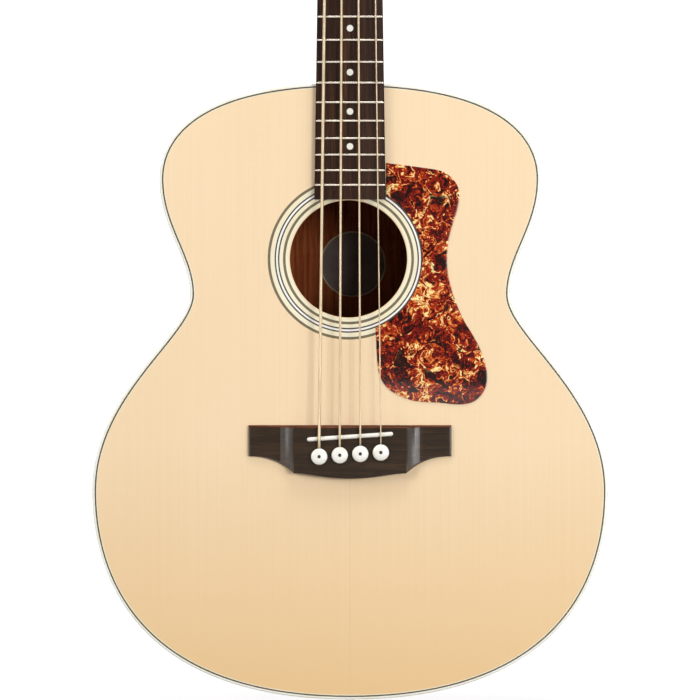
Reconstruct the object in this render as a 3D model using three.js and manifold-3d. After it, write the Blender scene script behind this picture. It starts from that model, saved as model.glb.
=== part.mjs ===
// Acoustic bass guitar with a jumbo flat-top body, in millimetres.
// +Z runs up the neck, +Y towards the back, +X to the treble side as seen from the front.
// The origin is on the centre line at the nut, on the glue line between neck and fingerboard.
// The front of the soundboard lies in the plane y = 0.

import * as THREE from 'three';
import { mergeVertices } from 'three/addons/utils/BufferGeometryUtils.js';
import Module from 'manifold-3d';

const wasm = await Module();
wasm.setup();

// Clearances
const seatGap = 0.3; // between a piece and the curved or turning face that carries it
const cutOverrun = 2; // how far a cut passes the face that it opens

// Scale and strings, from the bass side to the treble side
const scaleLength = 781;
const stringNames = ['e', 'a', 'd', 'g'];
const stringDiameters = [2.54, 2.03, 1.65, 1.14];
const stringSpacingAtNut = 10.8;
const stringSpacingAtSaddle = 17.2;
const stringLiftAtNut = 1.5; // underside of a string above the fingerboard
const stringLiftAtSaddle = 6.5;
const ballRadius = 2.6;
const ballLength = 5.4;
const windingTurns = 2;
const windingSpace = 0.55; // between neighbouring turns on a post

// Body
const bodyLength = 518;
const jointFret = 17; // the neck meets the body here
const bodyTopAboveFret = 0.455;
const lowerBoutWidth = 433;
const waistWidth = 268.6;
const upperBoutWidth = 320;
const depthAtTail = 122;
const depthTaper = 17; // lost on the way to the neck
const backArch = 12;
const soundboardThickness = 3;
const backThickness = 2.8;
const sideThickness = 2.3;
const bindingWidth = 2;
const bindingDepth = 6.5;
const purflingWidth = 1.8;
const liningWidth = 6;
const liningDepth = 15;
const neckBlockWidth = 84;
const neckBlockThickness = 48;
const tailBlockWidth = 70;
const tailBlockThickness = 18;

// Soundhole and rosette
const soundholeRadius = 49.2;
const soundholeX = -1.3;
const soundholeBelowBoard = 0.66; // the fingerboard ends this far above the hole's edge
const rosetteLand = 3.6; // plain spruce between the hole and the first ring
const rosetteInnerWidth = 2.2;
const rosetteFieldWidth = 10;
const rosetteOuterWidth = 2.2;
const rosetteDepth = 1.2;

// Bracing under the soundboard
const braceWidth = 8;
const braceHeight = 15;
const braceTipHeight = 4;
const braceTipLength = 40;
const crossingAboveScaleEnd = 66;
const crossUpperLeg = 172;
const crossLowerLeg = 258;
const crossAngle = THREE.MathUtils.degToRad(48);
const transverseWidth = 11;
const transverseLength = 284;
const transverseBelowBlock = 22;
const toneBarWidth = 7;
const toneBarHeight = 11;
const toneBarLengths = [150, 190];
const toneBarAngle = THREE.MathUtils.degToRad(12);

// Bridge, saddle and pins
const bridgeWidth = 170.4;
const bridgeAboveScaleEnd = 5.4;
const bridgeWingBottom = 20.7; // below the scale end
const bridgeCuspBottom = 34.9;
const bridgeCentreBottom = 39.4;
const bridgeBlockWidth = 94.4;
const bridgeHeight = 9.5;
const bridgeWingThickness = 3.2;
const bridgeScoopWidth = 15;
const bridgePlateWidth = 112;
const bridgePlateThickness = 3;
const bridgePlateAboveScaleEnd = 6;
const bridgePlateBelowScaleEnd = 42;
const saddleLength = 72.3;
const saddleThickness = 3.6;
const saddleDepthInBridge = 5;
const saddleBelowScaleEnd = 4.1;
const saddleSlope = THREE.MathUtils.degToRad(3.8); // the bass end sits lower
const pinBelowSaddle = 14.9;
const pinHeadRadius = 6.85;
const pinHeadHeight = 3.2;
const pinCollarHeight = 2.5; // the head stands this far off the bridge
const pinShankRadius = 2.5;
const pinTipRadius = 2.1;
const pinLength = 26;
const pinToString = 5.3;

// Pickguard and label
const pickguardThickness = 1;
const pickguardWidth = 93.7;
const pickguardLeft = 21.4; // from the centre line
const pickguardAboveBridge = 17.4;
const pickguardTopAboveSoundhole = 80.6;
const pickguardArcRadius = 63;
const labelRadius = 29.5;
const labelThickness = 0.4;
const labelX = 5;
const labelBelowSoundhole = 2;

// Neck and fingerboard
const boardWidthAtNut = 42.5;
const boardWidthAtEnd = 59.9;
const boardThickness = 6.5;
const boardRadius = 406;
const fretCount = 23;
const boardPastLastFret = 12;
const fretWidth = 2.2;
const fretHeight = 1.1;
const nutThickness = 6;
const nutTopShare = 0.6; // of the thickest string, sunk in its slot
const neckDepthAtNut = 15.5;
const neckDepthAtHeel = 18;
const heelLength = 74;
const heelCapLength = 24;
const heelShortOfBack = 5;
const heelRoundPastCap = 17; // how far below its cap the heel's round section would close
const heelCapThickness = 3;
const tenonWidth = 24;
const tenonLength = 16;
const tenonTop = 12;
const tenonShortOfCap = 22;
const trussChannelWidth = 7;
const trussChannelDepth = 10;
const trussRodWidth = 6.2;
const trussRodDepth = 9;
const trussRodEndAboveBody = 14;
const trussThreadRadius = 1.8;
const trussThreadLength = 12;
const trussNutRadius = 4;
const trussNutLength = 11;
const trussPocketWidth = 13;
const trussPocketLength = 30;

// Headstock
const headTilt = THREE.MathUtils.degToRad(14);
const headLength = 198;
const headWidth = 79;
const headThickness = 15;
const veneerThickness = 2;
const coverLength = 42;
const coverWidth = 26;
const coverThickness = 1.6;

// Tuners, the lower pair for the outer strings and the upper pair for the inner strings
const postX = 24;
const lowerPostHeight = 60; // from the nut, along the headstock
const upperPostHeight = 134;
const postRadius = 4.6;
const postTopRadius = 5.5;
const postTopHeight = 4.4;
const postRise = 21; // above the headstock's face
const postSlotWidth = 2.8;
const bushingFlangeRadius = 7.4;
const bushingFlangeHeight = 1.6;
const bushingTubeRadius = 6;
const bushingTubeLength = 8;
const tunerPlateThickness = 1.5;
const tunerPlateMargin = 3.5;
const hubRadius = 5.2; // between the plate and the gear
const gearTeeth = 16;
const gearThickness = 4.5;
const wormPitch = 2.6;
const wormPitchRadius = 3;
const wormLength = 11;
const toothAddendum = 0.7;
const toothDedendum = 1;
const toothWidth = 1; // at the pitch line, for thread and gear alike
const flankSlopeShare = 0.36;
const keyShaftRadius = 2;
const earThickness = 2;
const earMargin = 2;
const buttonLength = 24;
const buttonWidth = 20;
const buttonThickness = 5;
const buttonBevel = 1.6;
const buttonClearOfHead = 8;

// Strap buttons
const strapButtonRadius = 7;
const strapButtonWaist = 4.2;
const strapButtonLength = 14;
const strapScrewRadius = 2.6;
const strapScrewLength = 14;

// Places that follow from the sizes
const scaleEndZ = -scaleLength;
const bodyTopZ = fretZ(jointFret) + bodyTopAboveFret;
const tailZ = bodyTopZ - bodyLength;
const depthAtNeck = depthAtTail - depthTaper;
const heelDepth = depthAtNeck - heelShortOfBack;
const heelRoundDepth = heelDepth + heelRoundPastCap;
const boardEndZ = fretZ(fretCount) - boardPastLastFret;
const soundholeZ = boardEndZ - soundholeBelowBoard - soundholeRadius;
const soundboardInset = bindingWidth + purflingWidth + 2 * seatGap;
const backInset = bindingWidth + seatGap;
const liningInset = sideThickness + seatGap;
const innerInset = liningInset + liningWidth + seatGap;

// How finely the round shapes are divided
const outlineSteps = [13, 7, 6, 11]; // of each curve, from tail to neck
const ringSegments = 40;
const smallSegments = 12;
const pinHoleSegments = 5;
const windingSegments = 18;
const wormSegments = 10;

// Outline of the body: heights of the lower bout, waist and upper bout above the tail,
// as shares of the body's length, and each curve's two handles, as shares of its own width or height
const boutHeightShares = [0.338, 0.657, 0.844];
const outlineHandleShares = [
  [0.8, 0.45],
  [0.5, 0.202],
  [0.325, 0.417],
  [0.453, 0.8],
];

const materials = {
  spruce: finish(0xf4dfb8, 0.35, 0),
  mahogany: finish(0x6b3a24, 0.45, 0),
  brace: finish(0xdcc39a, 0.7, 0),
  maple: finish(0xd9bd90, 0.6, 0),
  rosewood: finish(0x3e302a, 0.5, 0),
  ivory: finish(0xf3efe2, 0.35, 0),
  black: finish(0x35322c, 0.4, 0),
  bone: finish(0xf6f3ea, 0.35, 0),
  tortoise: finish(0x6a2a12, 0.2, 0),
  paper: finish(0x8c857a, 0.9, 0),
  steel: finish(0xb9b9b6, 0.3, 1),
  bronze: finish(0xc9b287, 0.35, 1),
  nickel: finish(0xc6c7c9, 0.2, 1),
  brass: finish(0xb08d4c, 0.35, 1),
};

function finish(color, roughness, metalness) {
  return new THREE.MeshStandardMaterial({ color, roughness, metalness });
}

// Solids

// A piece with its faces pointing out, whichever way it was wound
function faceOut(geometry) {
  const flat = geometry.clone();
  flat.deleteAttribute('normal');
  flat.deleteAttribute('uv');
  const merged = mergeVertices(flat, 1e-6 * scaleLength);
  const p = merged.attributes.position;
  const index = merged.index.array;
  const a = new THREE.Vector3();
  const b = new THREE.Vector3();
  const c = new THREE.Vector3();
  let volume = 0;
  for (let i = 0; i < index.length; i += 3) {
    a.fromBufferAttribute(p, index[i]);
    b.fromBufferAttribute(p, index[i + 1]);
    c.fromBufferAttribute(p, index[i + 2]);
    volume += a.dot(b.cross(c));
  }
  if (volume < 0) {
    for (let i = 0; i < index.length; i += 3) {
      [index[i], index[i + 1]] = [index[i + 1], index[i]];
    }
  }
  return merged;
}

function toSolid(geometry) {
  const merged = faceOut(geometry);
  return new wasm.Manifold(new wasm.Mesh({
    numProp: 3,
    vertProperties: new Float32Array(merged.attributes.position.array),
    triVerts: new Uint32Array(merged.index.array),
  }));
}

function fromSolid(solid) {
  const mesh = solid.getMesh();
  const geometry = new THREE.BufferGeometry();
  geometry.setAttribute('position', new THREE.BufferAttribute(new Float32Array(mesh.vertProperties), 3));
  geometry.setIndex(new THREE.BufferAttribute(new Uint32Array(mesh.triVerts), 1));
  return geometry;
}

function unite(...geometries) {
  return fromSolid(geometries.map(toSolid).reduce((sum, solid) => sum.add(solid)));
}

function cut(geometry, ...cutters) {
  return fromSolid(cutters.map(toSolid).reduce((rest, solid) => rest.subtract(solid), toSolid(geometry)));
}

function overlapOf(first, second) {
  return fromSolid(toSolid(first).intersect(toSolid(second)));
}

// Rings of points joined one to the next: closed at both ends by a fan, or round into a loop
function skin(rings, loop = false) {
  const count = rings[0].length;
  const positions = [];
  const index = [];
  rings.forEach((ring) => ring.forEach((point) => positions.push(point.x, point.y, point.z)));
  const joined = loop ? rings.length : rings.length - 1;
  for (let r = 0; r < joined; r++) {
    const here = r * count;
    const next = ((r + 1) % rings.length) * count;
    for (let i = 0; i < count; i++) {
      const j = (i + 1) % count;
      index.push(here + i, next + i, next + j, here + i, next + j, here + j);
    }
  }
  if (!loop) {
    [0, rings.length - 1].forEach((r) => {
      const middle = new THREE.Vector3();
      rings[r].forEach((point) => middle.addScaledVector(point, 1 / count));
      const pole = positions.length / 3;
      positions.push(middle.x, middle.y, middle.z);
      for (let i = 0; i < count; i++) {
        const j = (i + 1) % count;
        if (r === 0) index.push(pole, i, j);
        else index.push(pole, r * count + j, r * count + i);
      }
    });
  }
  const geometry = new THREE.BufferGeometry();
  geometry.setAttribute('position', new THREE.Float32BufferAttribute(positions, 3));
  geometry.setIndex(index);
  return faceOut(geometry);
}

// A shape drawn in x and z, from yFront to yBack
function slab(shape, yFront, yBack, curveSegments = ringSegments) {
  const depth = yBack - yFront;
  const geometry = new THREE.ExtrudeGeometry(shape, { depth, bevelEnabled: false, curveSegments });
  geometry.rotateX(Math.PI / 2);
  geometry.translate(0, yBack, 0);
  return geometry;
}

function block(x0, x1, y0, y1, z0, z1) {
  const geometry = new THREE.BoxGeometry(x1 - x0, y1 - y0, z1 - z0);
  geometry.translate((x0 + x1) / 2, (y0 + y1) / 2, (z0 + z1) / 2);
  return geometry;
}

// A cylinder along y, from yFront to yBack
function peg(radius, x, z, yFront, yBack, segments = smallSegments) {
  const geometry = new THREE.CylinderGeometry(radius, radius, yBack - yFront, segments);
  geometry.translate(x, (yFront + yBack) / 2, z);
  return geometry;
}

// A turned piece: pairs of radius and height, about y
function turned(profile, segments) {
  return new THREE.LatheGeometry(profile.map(([radius, y]) => new THREE.Vector2(radius, y)), segments);
}

function circleHole(x, z, radius) {
  const hole = new THREE.Path();
  hole.absarc(x, z, radius, 0, 2 * Math.PI, true);
  return hole;
}

function ringShape(x, z, inner, outer) {
  const shape = new THREE.Shape();
  shape.absarc(x, z, outer, 0, 2 * Math.PI, false);
  shape.holes.push(circleHole(x, z, inner));
  return shape;
}

// A section carried along a path without turning about it; sectionAt gives [side, up] pairs
function sweep(points, sectionAt, up) {
  const rings = [];
  let upward = up.clone();
  points.forEach((point, i) => {
    const before = points[Math.max(i - 1, 0)];
    const after = points[Math.min(i + 1, points.length - 1)];
    const along = after.clone().sub(before).normalize();
    upward = upward.clone().addScaledVector(along, -upward.dot(along)).normalize();
    const side = along.clone().cross(upward);
    rings.push(sectionAt(i).map(([across, high]) => (
      point.clone().addScaledVector(side, across).addScaledVector(upward, high))));
  });
  return skin(rings);
}

function roundSection(radius, sides) {
  return Array.from({ length: sides }, (_, i) => {
    const angle = (2 * Math.PI * i) / sides;
    return [radius * Math.cos(angle), radius * Math.sin(angle)];
  });
}

// Outline of the body

function outlineCurves() {
  const corners = [
    [0, 0],
    [lowerBoutWidth / 2, boutHeightShares[0]],
    [waistWidth / 2, boutHeightShares[1]],
    [upperBoutWidth / 2, boutHeightShares[2]],
    [0, 1],
  ].map(([x, heightShare]) => new THREE.Vector2(x, tailZ + heightShare * bodyLength));
  return outlineHandleShares.map(([startShare, endShare], i) => {
    const from = corners[i];
    const to = corners[i + 1];
    const wide = Math.max(from.x, to.x);
    const rise = to.y - from.y;
    const start = i === 0 ? [startShare * wide, from.y] : [from.x, from.y + startShare * rise];
    const end = i === 3 ? [endShare * wide, to.y] : [to.x, to.y - endShare * rise];
    return new THREE.CubicBezierCurve(from, new THREE.Vector2(...start), new THREE.Vector2(...end), to);
  });
}

// Treble half of the outline from tail to neck, moved inwards by the inset
function halfOutline(inset) {
  const points = [];
  outlineCurves().forEach((curve, i) => {
    for (let step = i === 0 ? 0 : 1; step <= outlineSteps[i]; step++) {
      const t = step / outlineSteps[i];
      const point = curve.getPoint(t);
      const tangent = curve.getTangent(t);
      points.push(new THREE.Vector2(point.x - tangent.y * inset, point.y + tangent.x * inset));
    }
  });
  points[0].x = 0;
  points[points.length - 1].x = 0;
  return points;
}

function bodyOutline(inset) {
  const treble = halfOutline(inset);
  const bass = treble.slice(1, -1).reverse().map((point) => new THREE.Vector2(-point.x, point.y));
  return [...treble, ...bass];
}

// Depth of the body's back edge at a height z, which tapers from tail to neck
function backEdgeY(z) {
  return THREE.MathUtils.mapLinear(z, tailZ, bodyTopZ, depthAtTail, depthAtNeck);
}

const archCentre = new THREE.Vector2(0, tailZ + boutHeightShares[1] * bodyLength);

// Share of the way from the arch's centre to the rim, 0 to 1
function rimShare(x, z) {
  const reach = new THREE.Vector2(x, z).sub(archCentre);
  const outline = bodyOutline(backInset);
  let share = 0;
  outline.forEach((from, i) => {
    const a = from.clone().sub(archCentre);
    const b = outline[(i + 1) % outline.length].clone().sub(archCentre);
    const edge = b.clone().sub(a);
    const across = reach.cross(edge);
    if (across === 0) return;
    const along = a.cross(edge) / across;
    const within = a.cross(reach) / across;
    if (along > 0 && within >= 0 && within <= 1) share = Math.max(share, 1 / along);
  });
  return share;
}

// Rings of the arch, as shares of the way to the rim, and the rise between them
const archShares = [0.02, 0.4, 0.75, 1];

function archRise(share) {
  const outer = Math.max(1, archShares.findIndex((ring) => ring >= share));
  const [from, to] = [archShares[outer - 1], archShares[outer]];
  return backArch * THREE.MathUtils.mapLinear(share, from, to, 1 - from ** 2, 1 - to ** 2);
}

// A face of the arched back, as rings of the outline drawn in towards the arch's centre
function archedRings(inset, lift, ringShares) {
  const outline = bodyOutline(inset);
  return ringShares.map((share) => outline.map((point) => {
    const x = archCentre.x + share * (point.x - archCentre.x);
    const z = archCentre.y + share * (point.y - archCentre.y);
    return new THREE.Vector3(x, backEdgeY(z) + archRise(share) + lift, z);
  }));
}

// Room inside the box, in front of the arched back: everything inside is cut to it
function insideRoom(inset) {
  const clearOfBack = -backThickness - seatGap;
  const front = bodyOutline(inset).map((point) => new THREE.Vector3(point.x, soundboardThickness, point.y));
  const back = archedRings(inset, clearOfBack, [...archShares].reverse());
  return skin([front, ...back]);
}

// Frets divide the scale

function fretZ(number) {
  return -scaleLength * (1 - 2 ** (-number / 12));
}

function boardHalfWidth(z) {
  return THREE.MathUtils.mapLinear(z, 0, boardEndZ, boardWidthAtNut, boardWidthAtEnd) / 2;
}

function boardTopY(x) {
  return -boardThickness + x ** 2 / (2 * boardRadius);
}

// Strings: the places that the nut, saddle, bridge and pins share

function stringPlaces(i) {
  const radius = stringDiameters[i] / 2;
  const order = i - (stringNames.length - 1) / 2;
  const nutX = order * stringSpacingAtNut;
  const saddleX = order * stringSpacingAtSaddle;
  const saddleZ = scaleEndZ - saddleBelowScaleEnd + saddleX * Math.tan(saddleSlope);
  const nutY = boardTopY(nutX) - stringLiftAtNut - radius;
  const saddleY = boardTopY(saddleX) - stringLiftAtSaddle - radius;
  const pinZ = saddleZ - pinBelowSaddle;
  const bendY = -bridgeHeight + seatGap;
  const bendZ = pinZ + pinToString;
  const slope = (bendY - saddleY) / (saddleZ - bendZ);
  // where the underside of the rising string leaves the top of the bridge
  const rise = radius * Math.sqrt(1 + slope ** 2) + bendY + bridgeHeight;
  const slotReach = pinToString + rise / slope + 2 * seatGap;
  return { radius, nutX, saddleX, saddleZ, nutY, saddleY, pinZ, bendY, bendZ, slotReach };
}

const strings = stringNames.map((_, i) => stringPlaces(i));

// A pin's hole with the slot that lets the string past, opening towards the saddle
function pinHole(place, reach) {
  const holeRadius = pinShankRadius + seatGap;
  const halfSlot = place.radius + seatGap;
  const open = Math.asin(halfSlot / holeRadius);
  const hole = new THREE.Path();
  hole.moveTo(place.saddleX + halfSlot, place.pinZ + reach);
  hole.lineTo(place.saddleX - halfSlot, place.pinZ + reach);
  const start = Math.PI / 2 + open;
  const end = Math.PI / 2 - open + 2 * Math.PI;
  hole.absarc(place.saddleX, place.pinZ, holeRadius, start, end, false);
  return hole;
}

function pinCutters(yFront, yBack, reachOf) {
  return strings.map((place) => {
    const shape = new THREE.Shape(pinHole(place, reachOf(place)).getPoints(pinHoleSegments));
    return slab(shape, yFront, yBack);
  });
}

function shortReach(place) {
  return pinToString + place.radius + seatGap;
}

const guitar = new THREE.Group();

function add(name, geometry, material, parent = guitar) {
  const mesh = new THREE.Mesh(faceOut(geometry), material);
  mesh.name = name;
  parent.add(mesh);
  return mesh;
}

// Soundboard, rosette, pickguard

function rosetteEdges() {
  const inner = soundholeRadius + rosetteLand;
  const field = inner + rosetteInnerWidth + seatGap;
  const outer = field + rosetteFieldWidth + seatGap;
  return { inner, field, outer, end: outer + rosetteOuterWidth };
}

function makeSoundboard() {
  const shape = new THREE.Shape(bodyOutline(soundboardInset));
  shape.holes.push(circleHole(soundholeX, soundholeZ, soundholeRadius));
  const edges = rosetteEdges();
  const channel = ringShape(soundholeX, soundholeZ, edges.inner - seatGap, edges.end + seatGap);
  return cut(
    slab(shape, 0, soundboardThickness, ringSegments / 2),
    slab(channel, -cutOverrun, rosetteDepth + seatGap, ringSegments / 2),
    ...pinCutters(-cutOverrun, soundboardThickness + cutOverrun, shortReach),
  );
}

function makeRosetteRing(inner, width) {
  const shape = ringShape(soundholeX, soundholeZ, inner, inner + width);
  return slab(shape, 0, rosetteDepth, ringSegments / 2);
}

// The guard's free edge from the fingerboard round to its lower left side, as shares of its box
const pickguardEdgeShares = [
  [0.491, 0.976],
  [0.614, 0.961],
  [0.708, 0.925],
  [0.75, 0.879],
  [0.737, 0.818],
  [0.692, 0.747],
  [0.653, 0.676],
  [0.641, 0.597],
  [0.657, 0.526],
  [0.708, 0.44],
  [0.784, 0.355],
  [0.876, 0.284],
  [0.953, 0.212],
  [1, 0.126],
  [0.977, 0.062],
  [0.892, 0.016],
  [0.768, 0],
  [0.568, 0.007],
  [0.336, 0.016],
  [0.152, 0.052],
  [0.059, 0.098],
  [0.02, 0.162],
];

function makePickguard() {
  const lowZ = scaleEndZ + bridgeAboveScaleEnd + pickguardAboveBridge;
  const topZ = soundholeZ + pickguardTopAboveSoundhole;
  const edge = pickguardEdgeShares.map(([xShare, zShare]) => (
    new THREE.Vector2(pickguardLeft + xShare * pickguardWidth, lowZ + zShare * (topZ - lowZ))));
  const besideBoard = boardHalfWidth(boardEndZ) + seatGap;
  const upperAngle = Math.acos((besideBoard - soundholeX) / pickguardArcRadius);
  const lowerAngle = -Math.acos((pickguardLeft - soundholeX) / pickguardArcRadius);
  const arc = new THREE.EllipseCurve(
    soundholeX, soundholeZ, pickguardArcRadius, pickguardArcRadius, lowerAngle, upperAngle, false, 0);
  const free = new THREE.SplineCurve([new THREE.Vector2(besideBoard, topZ), ...edge, arc.getPoint(0)]);
  const points = [...free.getPoints(2 * edge.length + 2), ...arc.getPoints(ringSegments / 2).slice(1)];
  return slab(new THREE.Shape(points), -pickguardThickness, 0);
}

// Back, sides, linings, blocks, bindings

function makeBack() {
  const outer = archedRings(backInset, 0, archShares);
  const inner = archedRings(backInset, -backThickness, [...archShares].reverse());
  return skin([...outer, ...inner]);
}

// A strip bent round the outline: section gives the corners as pairs of inset and depth at a height
function bentStrip(path, section) {
  const corners = section(0).length;
  const insets = Array.from({ length: corners }, (_, i) => path(section(0)[i][0]));
  return insets[0].map((_, step) => insets.map((points, corner) => {
    const point = points[step];
    return new THREE.Vector3(point.x, section(point.y)[corner][1], point.y);
  }));
}

function bassHalf(inset) {
  return halfOutline(inset).map((point) => new THREE.Vector2(-point.x, point.y));
}

function sideSection(z) {
  const front = bindingDepth + seatGap;
  const back = backEdgeY(z) - bindingDepth - seatGap;
  return [[0, front], [sideThickness, front], [sideThickness, back], [0, back]];
}

// The two sides keep a seam at the tail and leave the tenon and the strap button's screw free
function makeSide(half) {
  const seam = block(
    -seatGap, seatGap, -cutOverrun, depthAtTail + cutOverrun,
    tailZ - cutOverrun, tailZ + tailBlockThickness,
  );
  return cut(skin(bentStrip(half, sideSection)), seam, tenonRoom(), strapScrewRoom());
}

function makeTopLining(half) {
  const strip = skin(bentStrip(half, () => [
    [liningInset, soundboardThickness],
    [liningInset + liningWidth, soundboardThickness],
    [liningInset, soundboardThickness + liningDepth],
  ]));
  return cut(strip, neckBlockRoom(), tailBlockRoom());
}

function makeBackLining(half) {
  const clearOfBack = backThickness + 2 * seatGap;
  const strip = skin(bentStrip(half, (z) => [
    [liningInset, backEdgeY(z) - clearOfBack],
    [liningInset + liningWidth, backEdgeY(z) - clearOfBack],
    [liningInset, backEdgeY(z) - clearOfBack - liningDepth],
  ]));
  return cut(strip, neckBlockRoom(), tailBlockRoom());
}

function neckBlockRoom() {
  const half = neckBlockWidth / 2 + seatGap;
  const low = blockFloorZ - seatGap;
  return block(-half, half, -cutOverrun, depthAtTail + backArch, low, bodyTopZ + cutOverrun);
}

function tailBlockRoom() {
  const half = tailBlockWidth / 2 + seatGap;
  const top = tailZ + liningInset + tailBlockThickness + seatGap;
  return block(-half, half, -cutOverrun, depthAtTail + backArch, tailZ - cutOverrun, top);
}

const blockFloorZ = bodyTopZ - liningInset - neckBlockThickness;
const tenonBottom = heelDepth - tenonShortOfCap;

function tenonRoom() {
  const half = tenonWidth / 2 + seatGap;
  return block(
    -half, half, tenonTop - seatGap, tenonBottom + seatGap,
    bodyTopZ - sideThickness - tenonLength, bodyTopZ + cutOverrun,
  );
}

function makeNeckBlock() {
  const half = neckBlockWidth / 2;
  const solid = block(-half, half, soundboardThickness, depthAtTail + backArch, blockFloorZ, bodyTopZ);
  return cut(overlapOf(solid, insideRoom(liningInset)), tenonRoom());
}

const strapButtonY = (depthAtTail + soundboardThickness) / 2;

function strapScrewRoom() {
  const room = new THREE.CylinderGeometry(
    strapScrewRadius + seatGap, strapScrewRadius + seatGap,
    strapScrewLength + liningInset + cutOverrun, smallSegments,
  );
  room.rotateX(Math.PI / 2);
  room.translate(0, strapButtonY, tailZ + (strapScrewLength + liningInset - cutOverrun) / 2);
  return room;
}

function makeTailBlock() {
  const half = tailBlockWidth / 2;
  const top = tailZ + liningInset + tailBlockThickness;
  const solid = block(-half, half, soundboardThickness, depthAtTail + backArch, tailZ, top);
  return cut(overlapOf(solid, insideRoom(liningInset)), strapScrewRoom());
}

function loopStrip(section) {
  return skin(bentStrip(bodyOutline, section), true);
}

function makeTopBinding() {
  return loopStrip(() => [[0, 0], [bindingWidth, 0], [bindingWidth, bindingDepth], [0, bindingDepth]]);
}

function makePurfling() {
  const start = bindingWidth + seatGap;
  const end = start + purflingWidth;
  return loopStrip(() => [[start, 0], [end, 0], [end, soundboardThickness], [start, soundboardThickness]]);
}

function makeBackBinding() {
  return loopStrip((z) => {
    const back = backEdgeY(z);
    const front = back - bindingDepth;
    return [[0, front], [bindingWidth, front], [bindingWidth, back], [0, back]];
  });
}

// Braces are bars with tapered tips, lying under the soundboard along a line

function bar(from, to, width, height, tipHeight, tipLength) {
  const front = soundboardThickness;
  const shape = new THREE.Shape([
    new THREE.Vector2(front, from),
    new THREE.Vector2(front, to),
    new THREE.Vector2(front + tipHeight, to),
    new THREE.Vector2(front + height, to - tipLength),
    new THREE.Vector2(front + height, from + tipLength),
    new THREE.Vector2(front + tipHeight, from),
  ]);
  return lengthwise(shape, width);
}

// A shape whose x is depth and whose y is height, made as wide as given about x = 0
function lengthwise(shape, width) {
  const geometry = new THREE.ExtrudeGeometry(shape, { depth: width, bevelEnabled: false });
  geometry.translate(0, 0, -width / 2);
  const place = new THREE.Matrix4().set(
    0, 0, 1, 0,
    1, 0, 0, 0,
    0, 1, 0, 0,
    0, 0, 0, 1,
  );
  return geometry.applyMatrix4(place);
}

const crossingZ = scaleEndZ + crossingAboveScaleEnd;

function crossBrace(side) {
  const geometry = bar(
    -crossLowerLeg, crossUpperLeg, braceWidth, braceHeight, braceTipHeight, braceTipLength);
  geometry.rotateY(side * crossAngle);
  geometry.translate(0, 0, crossingZ);
  return geometry;
}

// Halved joint: each brace gives up half its height where the other crosses
function crossNotch(side, yFront, yBack) {
  const half = braceWidth / 2 + seatGap;
  const reach = braceWidth * 2;
  const notch = block(-half, half, yFront, yBack, -reach, reach);
  notch.rotateY(side * crossAngle);
  notch.translate(0, 0, crossingZ);
  return notch;
}

function makeCrossBrace(side) {
  const middle = soundboardThickness + braceHeight / 2;
  const end = soundboardThickness + braceHeight + cutOverrun;
  const notch = side > 0
    ? crossNotch(-side, middle, end)
    : crossNotch(-side, -cutOverrun, middle + seatGap);
  return cut(overlapOf(crossBrace(side), insideRoom(innerInset)), notch, transverseRoom());
}

const transverseZ = blockFloorZ - transverseBelowBlock;

// The cross braces stop short of the transverse brace
function transverseRoom() {
  const low = transverseZ - transverseWidth / 2 - seatGap;
  return block(-upperBoutWidth, upperBoutWidth, -cutOverrun, depthAtTail, low, bodyTopZ);
}

function makeTransverseBrace() {
  const half = transverseLength / 2;
  const geometry = bar(-half, half, transverseWidth, braceHeight, braceTipHeight, braceTipLength);
  geometry.rotateY(Math.PI / 2);
  geometry.translate(0, 0, transverseZ);
  return overlapOf(geometry, insideRoom(innerInset));
}

// Places of the tone bars, as shares of the way from the bridge plate to the tail
const toneBarPlaceShares = [0.219, 0.568];

function makeToneBar(i) {
  const half = toneBarLengths[i] / 2;
  const plateEndZ = scaleEndZ - bridgePlateBelowScaleEnd;
  const geometry = bar(-half, half, toneBarWidth, toneBarHeight, braceTipHeight, braceTipLength);
  geometry.rotateY(Math.PI / 2 + toneBarAngle);
  geometry.translate(0, 0, plateEndZ + toneBarPlaceShares[i] * (tailZ - plateEndZ));
  return overlapOf(geometry, insideRoom(innerInset));
}

function makeBridgePlate() {
  const half = bridgePlateWidth / 2;
  const back = soundboardThickness + bridgePlateThickness;
  const plate = block(
    -half, half, soundboardThickness, back,
    scaleEndZ - bridgePlateBelowScaleEnd, scaleEndZ + bridgePlateAboveScaleEnd,
  );
  return cut(plate, ...pinCutters(-cutOverrun, back + cutOverrun, shortReach));
}

// The label follows the arched back
function makeLabel() {
  const z0 = soundholeZ - labelBelowSoundhole;
  const disc = (radius, lift) => Array.from({ length: 2 * smallSegments }, (_, i) => {
    const angle = (Math.PI * i) / smallSegments;
    const x = labelX + radius * Math.cos(angle);
    const z = z0 + radius * Math.sin(angle);
    const share = Math.max(rimShare(x, z), archShares[0]);
    return new THREE.Vector3(x, backEdgeY(z) + archRise(share) - backThickness - lift, z);
  });
  const far = seatGap;
  const near = seatGap + labelThickness;
  const inner = labelRadius / 2;
  return skin([disc(inner, far), disc(labelRadius, far), disc(labelRadius, near), disc(inner, near)]);
}

// Bridge: its plan and its front profile, each carried through the other

// Handles of the plan's lower edge, as shares of the wing's span and of half the block's width
const bridgeWingHandleShares = [0.5, 0.22];
const bridgeCentreHandleShares = [0.8, 0.45];
// Handle of the scoop that runs down from the block to the wing, as a share of its width
const bridgeScoopHandleShare = 0.25;

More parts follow.
